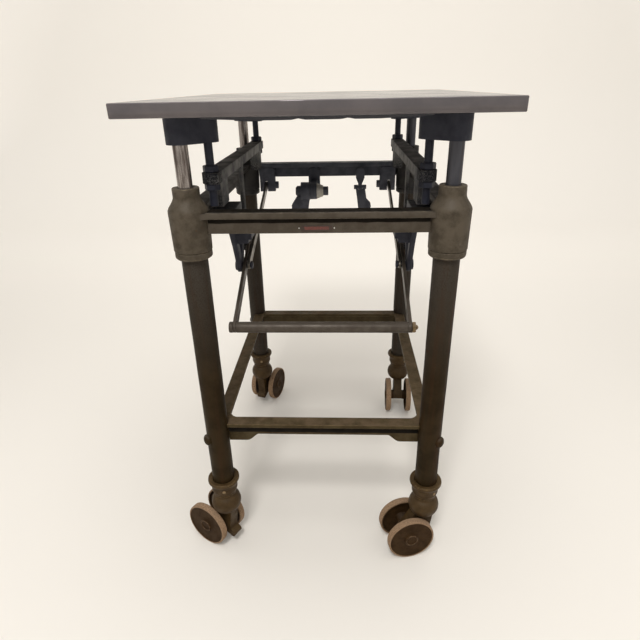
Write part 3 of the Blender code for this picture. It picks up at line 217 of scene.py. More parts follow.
class Effects:
    """The shader groups that the finishes share, each built once; ranges are where a mask starts and ends."""

    MOTTLE = (0.36, 0.66)
    WORN = (0.78, 1.12)
    FACING_UP = (0.35, 0.95)
    DRIFT = (0.3, 0.7)
    DRIFT_SCALE = 34.0
    RUN = (0.48, 0.66)
    RUN_STRETCH = (1.0, 1.0, 0.05)
    RUST_SPECKS = 9.0
    RUST_START = 0.72
    RUST_GAIN = 0.36
    RUST_RIM = 0.10

    def __init__(self) -> None:
        """Builds every group."""
        self.grain = self._grain(ShaderGroup("Cast Grain", ("Mottle Scale", "Grain Scale")))
        self.wear = self._wear(ShaderGroup("Edge Wear", ("Edge", "Amount", "Scale")))
        self.rust = self._rust(ShaderGroup("Rust Bloom", ("Scale", "Cover")))
        self.dust_and_shade = self._dust_and_shade(ShaderGroup("Settled Dust", ("Cover",)))
        self.streaks = self._streaks(ShaderGroup("Upright Streaks", ("Scale", "Amount")))

    def _grain(self, group: ShaderGroup) -> Tree:
        """Wires cast grain: broad mottling, and the height of a sandy skin.

        Args:
            group: the started group.

        Returns:
            The finished tree.
        """
        given = group.given
        broad = group.noise(given["Vector"], given["Mottle Scale"], 5.0, 0.65)
        fine = group.noise(given["Vector"], given["Grain Scale"], 3.0, 0.55)
        height = group.plus(group.times(fine, 0.6), group.times(broad, 0.8))
        return group.close({"Mottle": group.step(broad, *self.MOTTLE), "Height": height})

    def _wear(self, group: ShaderGroup) -> Tree:
        """Wires edge wear: bare patches that follow the marked edges.

        Args:
            group: the started group.

        Returns:
            The finished tree.
        """
        given = group.given
        rub = group.noise(given["Vector"], given["Scale"], 6.0, 0.7)
        total = group.plus(group.times(given["Edge"], given["Amount"]), group.times(rub, 0.9))
        return group.close({"Mask": group.step(total, *self.WORN)})

    def _rust(self, group: ShaderGroup) -> Tree:
        """Wires rust bloom: blotches with a speckled rim.

        Args:
            group: the started group.

        Returns:
            The finished tree.
        """
        given = group.given
        blotch = group.noise(given["Vector"], given["Scale"], 5.0, 0.7)
        speck = group.noise(given["Vector"], group.times(given["Scale"], self.RUST_SPECKS), 3.0, 0.7)
        level = group.plus(group.times(blotch, 0.75), group.times(speck, 0.25))
        edge = group.math("SUBTRACT", self.RUST_START, group.times(given["Cover"], self.RUST_GAIN))
        return group.close({"Mask": group.step(level, edge, group.plus(edge, self.RUST_RIM))})

    def _dust_and_shade(self, group: ShaderGroup) -> Tree:
        """Wires a film on what faces up: settled dust on most finishes, and painted shade on the upper rails,
        whose film colour is near-black.

        Args:
            group: the started group.

        Returns:
            The finished tree.
        """
        normal = group.add("ShaderNodeNewGeometry").outputs["Normal"]
        height = group.add("ShaderNodeSeparateXYZ", {0: normal}).outputs[2]
        drift = group.noise(group.given["Vector"], self.DRIFT_SCALE, 5.0, 0.65)
        film = group.times(group.step(height, *self.FACING_UP), group.step(drift, *self.DRIFT))
        return group.close({"Mask": group.times(film, group.given["Cover"])})

    def _streaks(self, group: ShaderGroup) -> Tree:
        """Wires upright streaks, long in Z and narrow across.

        Args:
            group: the started group.

        Returns:
            The finished tree.
        """
        inputs = {0: group.given["Vector"], 1: self.RUN_STRETCH}
        drawn = group.add("ShaderNodeVectorMath", inputs, operation="MULTIPLY").outputs[0]
        run = group.noise(drawn, group.given["Scale"], 4.0, 0.65)
        return group.close({"Mask": group.times(group.step(run, *self.RUN), group.given["Amount"])})


@dataclass(frozen=True)
class AgedFinish:
    """One aged surface: a coat with mottling, rust, rubbed edges, streaks, dust and an optional band. The
    dust film is dark painted shade on the upper rails, and the band is painted shade on the top's rib and the
    lift bars.

    Scales are in cells per metre, depths in metres, and shares run from 0 to 1. A drawn value under 1
    stretches the patterns upright.
    """

    title: str
    slot: str
    coat: RGB
    shade: RGB
    bare: RGB
    rust: RGB
    band: RGB = (0.30, 0.22, 0.14)
    rough: float = 0.55
    rough_spread: float = 0.16
    edge_dull: float = 0.0
    specular: float = 0.16
    coat_metal: float = 0.0
    bare_metal: float = 0.75
    mottle_scale: float = 26.0
    grain_scale: float = 420.0
    grain_depth: float = 0.0005
    rust_scale: float = 22.0
    rust_cover: float = 0.25
    wear: float = 0.55
    wear_scale: float = 160.0
    streaks: float = 0.0
    streak_scale: float = 90.0
    dust_and_shade: float = 0.25
    dust_and_shade_colour: RGB = (0.20, 0.18, 0.15)
    offset: float = 0.0
    drawn: float = 1.0

    def material(self, effects: Effects) -> bpy.types.Material:
        """Builds the material.

        Args:
            effects: the shared shader groups.

        Returns:
            The new material.
        """
        made = bpy.data.materials.new(self.title)
        made.use_nodes = True
        wiring = Wiring(made.node_tree)
        shader = made.node_tree.nodes["Principled BSDF"]
        coords = wiring.add("ShaderNodeTexCoord").outputs["Object"]
        shift = [self.offset * share for share in SHIFT]
        inputs = {"Vector": coords, "Location": shift, "Scale": (1.0, 1.0, self.drawn)}
        place = wiring.add("ShaderNodeMapping", inputs).outputs[0]
        edge = wiring.add("ShaderNodeAttribute", attribute_name=EDGE).outputs["Fac"]
        band = wiring.add("ShaderNodeAttribute", attribute_name=BAND).outputs["Fac"]

        scales = {"mottle_scale": self.mottle_scale, "grain_scale": self.grain_scale}
        grain = self._use(wiring, effects.grain, place, **scales)
        rust = self._use(wiring, effects.rust, place, scale=self.rust_scale, cover=self.rust_cover)
        wear = self._use(wiring, effects.wear, place, edge=edge, amount=self.wear, scale=self.wear_scale)
        dust_and_shade = self._use(wiring, effects.dust_and_shade, place, cover=self.dust_and_shade)
        streak = self._use(wiring, effects.streaks, place, scale=self.streak_scale, amount=self.streaks)

        mottle, worn, dust_and_shade_mask = grain.outputs["Mottle"], wear.outputs["Mask"], dust_and_shade.outputs["Mask"]
        stain = wiring.math("MAXIMUM", rust.outputs["Mask"], streak.outputs["Mask"])
        speck = wiring.noise(place, SPECK_SCALE, 3.0, 0.7)
        banded = wiring.times(band, wiring.step(speck, *SPECKS))
        stained = wiring.times(stain, STAIN_SHARE)
        # The band and the dust film carry painted shade on some finishes: the top's rib, the lift bars and
        # the upper rails.
        masks = (mottle, banded, stained, worn, dust_and_shade_mask)
        tones = (self.shade, self.band, self.rust, self.bare, self.dust_and_shade_colour)
        colour = (*self.coat, 1.0)
        for mask, tone in zip(masks, tones):
            colour = wiring.blend(mask, colour, (*tone, 1.0))

        rough = wiring.times(mottle, self.rough_spread)
        for mask, share in ((stain, STAIN_DULL), (dust_and_shade_mask, DUST_AND_SHADE_DULL), (edge, self.edge_dull)):
            rough = wiring.plus(rough, wiring.times(mask, share))
        rough = wiring.plus(rough, self.rough - self.rough_spread / 2)
        coated = wiring.times(wiring.math("SUBTRACT", 1.0, stain), self.coat_metal)
        metal = wiring.math("MAXIMUM", coated, wiring.times(worn, self.bare_metal))

        flaked = wiring.math("SUBTRACT", grain.outputs["Height"], wiring.times(worn, SCRAPE))
        height = wiring.plus(flaked, wiring.times(stain, BLISTER))
        inputs = {"Height": height, "Distance": self.grain_depth, "Strength": BUMP_STRENGTH}
        bump = wiring.add("ShaderNodeBump", inputs).outputs[0]
        surface = {"Base Color": colour, "Roughness": rough, "Metallic": metal, "Normal": bump}
        wiring.feed(shader, {"Specular IOR Level": self.specular, **surface})
        return made

    @staticmethod
    def _use(wiring: Wiring, group: Tree, vector: Any, **values: Any) -> bpy.types.Node:
        """Places a shared group and sets its named inputs, written here in lower case."""
        inputs = {name.replace("_", " ").title(): value for name, value in values.items()}
        return wiring.add("ShaderNodeGroup", {"Vector": vector, **inputs}, node_tree=group)


OLD_IRON: RGB = (0.088, 0.070, 0.049)
RUST: RGB = (0.080, 0.040, 0.019)


class Finish(Enum):
    """The finishes seen on the table."""

    # Its dark band colour paints shade on the rib under the plate.
    TOP = AgedFinish(
        "top plate steel", "top_steel", (0.135, 0.118, 0.118), (0.100, 0.090, 0.092), (0.26, 0.24, 0.23),
        RUST, band=(0.030, 0.031, 0.036), rough=0.18, rough_spread=0.08, edge_dull=0.45, specular=0.5,
        coat_metal=0.55, bare_metal=0.7, mottle_scale=9.0, grain_scale=260.0, grain_depth=0.00003,
        rust_scale=7.0, rust_cover=0.05, wear=0.32, wear_scale=90.0, dust_and_shade=0.0,
    )
    CASTING = AgedFinish(
        "collar casting paint", "cast_iron", OLD_IRON, (0.050, 0.039, 0.026), (0.21, 0.17, 0.12), RUST,
        rough=0.60, mottle_scale=34.0, grain_depth=0.0008, rust_cover=0.18, wear=0.44, dust_and_shade=0.30, offset=1.3,
        dust_and_shade_colour=(0.14, 0.115, 0.085),
    )
    # Darker copy of the collar paint: painted shade for the rear collars under the top.
    SHADED_REAR_CASTING = AgedFinish(
        "rear collar casting paint in shade", "cast_iron", (0.040, 0.037, 0.034), (0.026, 0.025, 0.025),
        (0.11, 0.10, 0.085), RUST, rough=0.60, mottle_scale=34.0, grain_depth=0.0008, rust_cover=0.14,
        wear=0.36, dust_and_shade=0.10, offset=1.7,
    )
    # Its near-black dust colour paints shade on the rail's upward faces, which the table top shades.
    RAIL = AgedFinish(
        "rail paint", "rail_iron", (0.078, 0.063, 0.047), (0.056, 0.044, 0.031), (0.20, 0.165, 0.12), RUST,
        rough=0.58, mottle_scale=24.0, rust_cover=0.16, wear=0.50, dust_and_shade=0.85, offset=2.1,
        dust_and_shade_colour=(0.022, 0.020, 0.019),
    )
    # Darker copy of the rail paint: painted shade for the side rails under the top; its near-black dust
    # colour paints shade on their upward faces too.
    SHADED_SIDE_RAIL = AgedFinish(
        "side rail paint in shade", "rail_iron", (0.042, 0.037, 0.032), (0.028, 0.025, 0.022), (0.16, 0.135, 0.105),
        RUST, rough=0.58, mottle_scale=24.0, rust_cover=0.16, wear=0.50, dust_and_shade=0.50, offset=2.3,
        dust_and_shade_colour=(0.022, 0.020, 0.019),
    )
    LOWER_RAIL = AgedFinish(
        "lower rail paint", "rail_iron", (0.062, 0.043, 0.017), (0.040, 0.026, 0.009), (0.24, 0.165, 0.085),
        (0.075, 0.038, 0.012), rough=0.58, rust_cover=0.26, wear=0.56, dust_and_shade=0.80, offset=2.9,
        dust_and_shade_colour=(0.125, 0.085, 0.050),
    )
    LEG = AgedFinish(
        "leg tube paint", "leg_paint", (0.029, 0.018, 0.007), (0.018, 0.011, 0.004), (0.12, 0.085, 0.055),
        (0.046, 0.020, 0.009), band=(0.050, 0.042, 0.034), rough=0.48, specular=0.06, mottle_scale=17.0,
        grain_scale=300.0, grain_depth=0.0003, rust_scale=12.0, rust_cover=0.24, wear=0.30, streaks=0.35,
        streak_scale=60.0, dust_and_shade=0.2, offset=3.7,
    )
    # Near-black coat for the painted shadow under the front flanges and the painted shade on the upper front
    # rail's top.
    PAINTED_SHADE = AgedFinish(
        "painted shade film", "rail_iron", (0.014, 0.011, 0.008), (0.009, 0.007, 0.005), (0.05, 0.04, 0.03),
        (0.022, 0.014, 0.008), rough=0.75, specular=0.05, rust_cover=0.10, wear=0.2, dust_and_shade=0.0, offset=2.5,
    )
    # Partly painted shade: the blue cast stands for the skylit shadow under the top.
    BLOCK = AgedFinish(
        "corner block iron", "cast_iron", (0.041, 0.042, 0.055), (0.029, 0.030, 0.041), (0.095, 0.097, 0.108),
        (0.042, 0.038, 0.042), rough=0.52, rust_cover=0.06, wear=0.26, dust_and_shade=0.10, offset=4.1,
    )
    # Its blue cast is painted shade: the skylit shadow under the rear of the top, on the rear rail, its
    # brackets and the rear levers.
    BLUE_SHADED_IRON = AgedFinish(
        "iron in blue shade", "cast_iron", (0.088, 0.091, 0.110), (0.058, 0.061, 0.076), (0.19, 0.19, 0.195),
        (0.066, 0.056, 0.052), rough=0.52, rust_cover=0.10, wear=0.34, dust_and_shade=0.20, offset=4.3,
        dust_and_shade_colour=(0.11, 0.115, 0.13),
    )
    # Its near-black band colour paints shade on the bars' legs and ends under the top.
    LIFT_BAR = AgedFinish(
        "lift bar iron", "rail_iron", (0.196, 0.190, 0.178), (0.092, 0.092, 0.096), (0.33, 0.30, 0.26),
        (0.085, 0.056, 0.038), band=(0.008, 0.008, 0.011), rough=0.60, specular=0.06, rust_cover=0.16,
        wear=0.62, wear_scale=110.0, dust_and_shade=0.35, offset=4.9, dust_and_shade_colour=(0.12, 0.113, 0.105),
    )
    # Partly painted shade: the blue cast stands for the skylit shadow under the top.
    HANGER = AgedFinish(
        "hanger rod iron", "dark_steel", (0.031, 0.033, 0.046), (0.021, 0.022, 0.032), (0.13, 0.125, 0.12),
        (0.040, 0.030, 0.025), rough=0.48, grain_depth=0.0003, rust_cover=0.10, wear=0.34, dust_and_shade=0.1,
        offset=5.3,
    )
    BRIGHT_ROD = AgedFinish(
        "bright guide rod", "bright_steel", (0.38, 0.34, 0.31), (0.085, 0.066, 0.056), (0.56, 0.53, 0.51),
        (0.060, 0.036, 0.024), rough=0.26, rough_spread=0.10, coat_metal=0.95, mottle_scale=95.0,
        grain_depth=0.00006, rust_scale=80.0, rust_cover=0.40, wear=0.2, streaks=0.6, streak_scale=170.0,
        dust_and_shade=0.0, offset=6.1, drawn=0.10,
    )
    DULL_ROD = AgedFinish(
        "dull guide rod", "bright_steel", (0.070, 0.069, 0.076), (0.045, 0.045, 0.053), (0.24, 0.23, 0.22),
        (0.056, 0.038, 0.028), rough=0.36, coat_metal=0.6, mottle_scale=36.0, grain_depth=0.00014,
        rust_scale=40.0, rust_cover=0.18, wear=0.25, streaks=0.5, streak_scale=130.0, dust_and_shade=0.0, offset=6.7,
        drawn=0.12,
    )
    STAY = AgedFinish(
        "stay bar steel", "bright_steel", (0.20, 0.18, 0.15), (0.11, 0.098, 0.082), (0.36, 0.34, 0.30), RUST,
        rough=0.42, coat_metal=0.7, rust_cover=0.26, wear=0.45, grain_depth=0.0002, dust_and_shade=0.2, offset=7.3,
    )
    BAIL = AgedFinish(
        "bail steel", "worn_steel", (0.084, 0.069, 0.054), (0.058, 0.045, 0.034), (0.20, 0.17, 0.14), RUST,
        rough=0.44, coat_metal=0.2, mottle_scale=34.0, grain_depth=0.0003, rust_cover=0.26, wear=0.45,
        dust_and_shade=0.3, dust_and_shade_colour=(0.12, 0.10, 0.08), offset=7.9,
    )
    BRASS = AgedFinish(
        "worn nut", "worn_steel", (0.30, 0.215, 0.12), (0.17, 0.115, 0.062), (0.44, 0.35, 0.22), RUST,
        rough=0.38, coat_metal=0.7, rust_cover=0.2, wear=0.5, grain_depth=0.0002, offset=8.5,
    )
    PALE = AgedFinish(
        "pale washer", "cast_iron", (0.58, 0.55, 0.49), (0.34, 0.32, 0.28), (0.66, 0.63, 0.58), RUST,
        rough=0.48, coat_metal=0.3, rust_cover=0.18, wear=0.4, grain_depth=0.0002, offset=9.1,
    )
    CASTER = AgedFinish(
        "caster casting", "cast_iron", (0.062, 0.036, 0.013), (0.040, 0.022, 0.007), (0.22, 0.145, 0.060),
        (0.075, 0.034, 0.010), band=(0.26, 0.165, 0.065), rough=0.52, mottle_scale=40.0, grain_depth=0.0006,
        rust_cover=0.26, wear=0.42, dust_and_shade=0.25, dust_and_shade_colour=(0.105, 0.075, 0.040), offset=9.7,
    )
    WHEEL = AgedFinish(
        "caster wheel iron", "wheel_iron", (0.043, 0.022, 0.008), (0.028, 0.014, 0.005), (0.24, 0.160, 0.100),
        (0.060, 0.027, 0.010), specular=0.06, band=(0.33, 0.215, 0.130), rough=0.56, mottle_scale=45.0,
        grain_depth=0.0005, rust_scale=30.0, rust_cover=0.28, wear=0.50, dust_and_shade=0.1, offset=10.3,
    )
    PLATE = AgedFinish(
        "blank plate enamel", "rail_iron", (0.062, 0.045, 0.036), (0.048, 0.034, 0.026), (0.20, 0.14, 0.11),
        (0.080, 0.036, 0.024), band=(0.14, 0.050, 0.040), rough=0.5, grain_depth=0.00015, rust_cover=0.15,
        wear=0.4, dust_and_shade=0.0, offset=10.9,
    )


# The side rails and the rear rail take finishes that carry painted shade.
RAIL_FINISH = {
    "front": Finish.RAIL, "rear": Finish.BLUE_SHADED_IRON, "left": Finish.SHADED_SIDE_RAIL, "right": Finish.SHADED_SIDE_RAIL
}


def put(name: str, data: Any) -> bpy.types.Object:
    """Makes an object of its data and links it to the scene.

    Args:
        name: its name.
        data: its mesh, lens or light.

    Returns:
        The object.
    """
    made = bpy.data.objects.new(name, data)
    bpy.context.scene.collection.objects.link(made)
    return made


def mirrored(x: float, y: float) -> tuple[Point, ...]:
    """Returns a way out for each corner, the same but for its signs."""
    return ((-x, -y), (x, -y), (-x, y), (x, y))


def axis_frame(origin: Sequence[float], axis: Sequence[float]) -> Matrix:
    """Returns a frame at a point whose Z runs along an axis.

    Args:
        origin: the frame's place.
        axis: the direction of its Z.

    Returns:
        The frame as a matrix.
    """
    turn = Vector((0.0, 0.0, 1.0)).rotation_difference(Vector(axis).normalized())
    return Matrix.Translation(origin) @ turn.to_matrix().to_4x4()


def arc(centre: Point, radius: float, start: float, end: float, steps: int) -> Outline:
    """Returns the points of an arc; angles are in radians.

    Args:
        centre: its centre.
        radius: its radius.
        start: its first angle.
        end: its last angle.
        steps: its facets.

    Returns:
        The points.
    """
    points = []
    for step in range(steps + 1):
        angle = start + (end - start) * step / steps
        points.append((centre[0] + radius * math.cos(angle), centre[1] + radius * math.sin(angle)))
    return points


def belt(first: Vector, first_radius: float, second: Vector, second_radius: float, steps: int) -> Outline:
    """Returns the outline that wraps two circles, like a belt round two wheels.

    Args:
        first: the first circle's centre.
        first_radius: its radius.
        second: the second circle's centre.
        second_radius: its radius.
        steps: facets of each arc.

    Returns:
        The outline.
    """
    run = second - first
    way = math.atan2(run.y, run.x)
    lean = math.acos((first_radius - second_radius) / run.length)
    outline = arc(tuple(first), first_radius, way + lean, way + 2 * math.pi - lean, steps)
    return outline + arc(tuple(second), second_radius, way - lean, way + lean, steps)


def rod(radius: float, length: float) -> Outline:
    """Returns the turning outline of a plain round bar."""
    return [(0.0, 0.0), (radius, 0.0), (radius, length), (0.0, length)]


def ragged(half: float, level: float, pitch: float, row: float) -> Outline:
    """Returns a line from +half to -half that strays about a level.

    Args:
        half: half its length.
        level: the level.
        pitch: cells of noise per metre along it.
        row: which row of the noise it follows.

    Returns:
        The line's points.
    """
    points = []
    for step in range(RAGGED_STEPS + 1):
        x = half * (1.0 - 2.0 * step / RAGGED_STEPS)
        points.append((x, level + RAGGED_STRAY * noise.noise(Vector((x * pitch, row, 0.0)))))
    return points


def s_curve(start: Point, end: Point, steps: int) -> Outline:
    """Returns a smooth S between two points of a turning outline, upright at both ends.

    Args:
        start: its first point.
        end: its last point.
        steps: its facets.

    Returns:
        The points.
    """
    points = []
    for step in range(steps + 1):
        share = step / steps
        swell = (1.0 - math.cos(math.pi * share)) / 2
        points.append((start[0] + (end[0] - start[0]) * swell, start[1] + (end[1] - start[1]) * share))
    return points


class Shape:
    """A mesh being made, with a wear value and a band value on each point."""

    def __init__(self) -> None:
        """Starts an empty mesh."""
        self.mesh = bmesh.new()
        self._find_layers()

    def _find_layers(self) -> None:
        """Finds the layers of wear and band values, or adds them."""
        layers = self.mesh.verts.layers.float
        self.edge = layers.get(EDGE) or layers.new(EDGE)
        self.band = layers.get(BAND) or layers.new(BAND)

    @classmethod
    def of_node(cls, node: bpy.types.Object) -> "Shape":
        """Starts from a merged copy of a CAD node's mesh.

        Args:
            node: the CAD node.

        Returns:
            The new shape.
        """
        shape = cls()
        mesh = shape.mesh
        mesh.from_mesh(node.data)
        shape._find_layers()
        bmesh.ops.remove_doubles(mesh, verts=mesh.verts, dist=MERGE)
        bmesh.ops.dissolve_limit(mesh, angle_limit=FLAT, verts=mesh.verts, edges=mesh.edges)
        return shape

    def soften(self, width: float, segments: int = 2) -> "Shape":
        """Rounds the outer edges and marks them for wear.

        Args:
            width: the rounding's width.
            segments: its facets.

        Returns:
            The same shape.
        """
        edges = [e for e in self.mesh.edges if e.is_manifold and e.is_convex and e.calc_face_angle() > CREASE]
        made = bmesh.ops.bevel(
            self.mesh, geom=edges, offset=width, segments=segments, profile=0.5, affect="EDGES",
            clamp_overlap=True,
        )
        rounded = set(made["faces"])
        for vert in made["verts"]:
            if all(face in rounded for face in vert.link_faces):
                vert[self.edge] = 1.0
        return self

    def turn(self, profile: Outline, place: Matrix, rounding: float, segments: int = FINE,
             band: Sequence[float] = ()) -> "Shape":
        """Turns a closed outline of (radius, height) about Z, with its corners rounded and outer ones marked.

        Args:
            profile: the outline; points at radius 0 close it on the axis.
            place: where the turned shape goes.
            rounding: the corners' rounding.
            segments: facets round the axis.
            band: the low and high radius of a band on the surface, or nothing.

        Returns:
            The same shape.
        """
        rings = []
        for radius, height, worn in round_profile(profile, rounding):
            count = segments if radius > 0.0 else 1
            ring = []
            for step in range(count):
                angle = step * 2 * math.pi / segments
                point = Vector((radius * math.cos(angle), radius * math.sin(angle), height))
                vert = self.mesh.verts.new(place @ point)
                vert[self.edge] = worn
                if band and band[0] <= radius <= band[1]:
                    vert[self.band] = 1.0
                ring.append(vert)
            rings.append(ring)
        closed = profile[0][0] > 0.0
        following = rings[1:] + rings[:1] if closed else rings[1:]
        for lower, upper in zip(rings, following):
            self.wall(lower, upper)
        return self

    def wall(self, lower: list, upper: list) -> None:
        """Adds the faces between two rings of points, triangles where one ring is a point.

        Args:
            lower: one ring.
            upper: the next ring.
        """
        count = max(len(lower), len(upper))
        if count == 1:
            return
        for step in range(count):
            after = (step + 1) % count
            if len(lower) == 1:
                corners = (lower[0], upper[after], upper[step])
            elif len(upper) == 1:
                corners = (lower[step], lower[after], upper[0])
            else:
                corners = (lower[step], lower[after], upper[after], upper[step])
            self.mesh.faces.new(corners)

    def plate(self, outline: Outline, place: Matrix, thickness: float) -> "Shape":
        """Adds a plate with an outline in its local XY plane, from Z 0 up to its thickness.

        Args:
            outline: its outline.
            place: its frame.
            thickness: its thickness.

        Returns:
            The same shape.
        """
        lower = [self.mesh.verts.new(place @ Vector((u, v, 0.0))) for u, v in outline]
        upper = [self.mesh.verts.new(place @ Vector((u, v, thickness))) for u, v in outline]
        self.mesh.faces.new(lower)
        self.mesh.faces.new(upper)
        self.wall(lower, upper)
        return self

    def patch(self, outline: Outline, place: Matrix, thickness: float, layer: Any, value: float) -> "Shape":
        """Adds a plate whose points all have one value in a layer.

        Args:
            outline: its outline.
            place: its frame.
            thickness: its thickness.
            layer: the layer.
            value: the value.

        Returns:
            The same shape.
        """
        known = set(self.mesh.verts)
        self.plate(outline, place, thickness)
        for vert in set(self.mesh.verts) - known:
            vert[layer] = value
        return self

    def roughen(self, depth: float, scale: float) -> "Shape":
        """Moves the points along their normals by smooth noise, as a sand casting's skin lies.

        Args:
            depth: the most that a point moves.
            scale: cells of noise per metre.

        Returns:
            The same shape.
        """
        self.mesh.normal_update()
        for vert in self.mesh.verts:
            vert.co += vert.normal * depth * noise.noise(vert.co * scale)
        return self

    def finished(self, name: str) -> bpy.types.Mesh:
        """Turns the shape into a mesh with outward faces and smooth round sides.

        Args:
            name: the mesh's name.

        Returns:
            The mesh.
        """
        bmesh.ops.recalc_face_normals(self.mesh, faces=self.mesh.faces)
        data = bpy.data.meshes.new(name)
        self.mesh.to_mesh(data)
        self.mesh.free()
        data.shade_smooth()
        data.set_sharp_from_angle(angle=SMOOTH)
        return data


def round_profile(profile: Outline, rounding: float, steps: int = 4) -> list[tuple[float, float, float]]:
    """Rounds the corners of a turning outline.

    Args:
        profile: the outline of (radius, height) points.
        rounding: how far each rounding reaches along the sides.
        steps: facets of each rounding.

    Returns:
        Points of (radius, height, wear), where wear is 1 in the middle of an outer corner.
    """
    count = len(profile)
    closed = profile[0][0] > 0.0
    area = sum(profile[i - 1][0] * profile[i][1] - profile[i][0] * profile[i - 1][1] for i in range(count))
    rings = []
    for index, (radius, height) in enumerate(profile):
        if not closed and index in (0, count - 1):
            rings.append((radius, height, 0.0))
            continue
        corner = Vector((radius, height))
        before = Vector(profile[index - 1]) - corner
        after = Vector(profile[(index + 1) % count]) - corner
        bend = -before.x * after.y + before.y * after.x
        sharp = math.pi - before.angle(after) > WORN_BEND
        outer = sharp and bend * area > 0.0
        cut = min(rounding, CORNER_SHARE * before.length, CORNER_SHARE * after.length)
        start = corner + before.normalized() * cut
        end = corner + after.normalized() * cut
        for step in range(steps + 1):
            share = step / steps
            point = start.lerp(corner, share).lerp(corner.lerp(end, share), share)
            inside = 0 < step < steps
            rings.append((max(point.x, 0.0), point.y, 1.0 if outer and inside else 0.0))
    return rings


class HeadShape(Enum):
    """Fastener heads that the point trees can place."""

    DOME = "dome"
    HEX = "hex"


@dataclass(frozen=True)
class Head:
    """A fastener head, in metres."""

    form: HeadShape
    radius: float
    height: float
    finish: Finish


def head_tree(shape: HeadShape) -> Tree:
    """Builds the tree that puts a fastener head on each point, along the point's aim.

    Args:
        shape: which head.

    Returns:
        The geometry tree, with inputs Radius, Height and Finish.
    """
    wiring = Wiring(bpy.data.node_groups.new(f"{shape.value} heads", "GeometryNodeTree"))
    inputs = {"Geometry": "Geometry", "Radius": "Float", "Height": "Float", "Finish": "Material"}
    for name, kind in inputs.items():
        wiring.socket(name, kind)
    wiring.socket("Geometry", "Geometry", "OUTPUT")
    given = wiring.add("NodeGroupInput").outputs
    if shape is HeadShape.DOME:
        inputs = {"Segments": DOME_SEGMENTS, "Rings": DOME_RINGS, "Radius": given["Radius"]}
        ball = wiring.add("GeometryNodeMeshUVSphere", inputs)
        flat = wiring.math("DIVIDE", given["Height"], given["Radius"])
        squash = wiring.add("ShaderNodeCombineXYZ", {0: 1.0, 1: 1.0, 2: flat})
        inputs = {"Geometry": ball.outputs[0], "Scale": squash.outputs[0]}
        head = wiring.add("GeometryNodeTransform", inputs).outputs[0]
    else:
        head = hex_nut(wiring, given["Radius"], given["Height"])
    aim = wiring.add("GeometryNodeInputNamedAttribute", {"Name": "aim"}, data_type="FLOAT_VECTOR").outputs[0]
    turn = wiring.add("FunctionNodeAlignRotationToVector", {"Vector": aim}, axis="Z").outputs[0]
    inputs = {"Points": given["Geometry"], "Instance": head, "Rotation": turn}
    copies = wiring.add("GeometryNodeInstanceOnPoints", inputs).outputs[0]
    real = wiring.add("GeometryNodeRealizeInstances", {"Geometry": copies}).outputs[0]
    inputs = {"Geometry": real, "Material": given["Finish"]}
    dressed = wiring.add("GeometryNodeSetMaterial", inputs).outputs[0]
    wiring.add("NodeGroupOutput", {"Geometry": dressed})
    return wiring.tree


def hex_nut(wiring: Wiring, radius: Any, height: Any) -> Socket:
    """Adds the nodes of a hexagonal nut with chamfered ends, standing on its point.

    Args:
        wiring: the tree's wiring.
        radius: the radius to the corners.
        height: the nut's height.

    Returns:
        The nut's geometry.
    """
    chamfer = wiring.times(height, NUT_CHAMFER)
    narrow = wiring.times(radius, NUT_NARROW)
    body = wiring.math("SUBTRACT", height, wiring.times(chamfer, 2.0))
    pieces = []
    levels = (
        (narrow, radius, chamfer, 0.0),
        (radius, radius, body, chamfer),
        (radius, narrow, chamfer, wiring.plus(chamfer, body)),
    )
    for low, high, depth, rise in levels:
        inputs = {"Vertices": 6, "Radius Bottom": low, "Radius Top": high, "Depth": depth}
        cone = wiring.add("GeometryNodeMeshCone", inputs, fill_type="NGON").outputs[0]
        lift = wiring.add("ShaderNodeCombineXYZ", {2: rise}).outputs[0]
        pieces.append(wiring.add("GeometryNodeTransform", {"Geometry": cone, "Translation": lift}).outputs[0])
    joined = wiring.add("GeometryNodeJoinGeometry")
    for piece in reversed(pieces):
        wiring.tree.links.new(piece, joined.inputs[0])
    return joined.outputs[0]


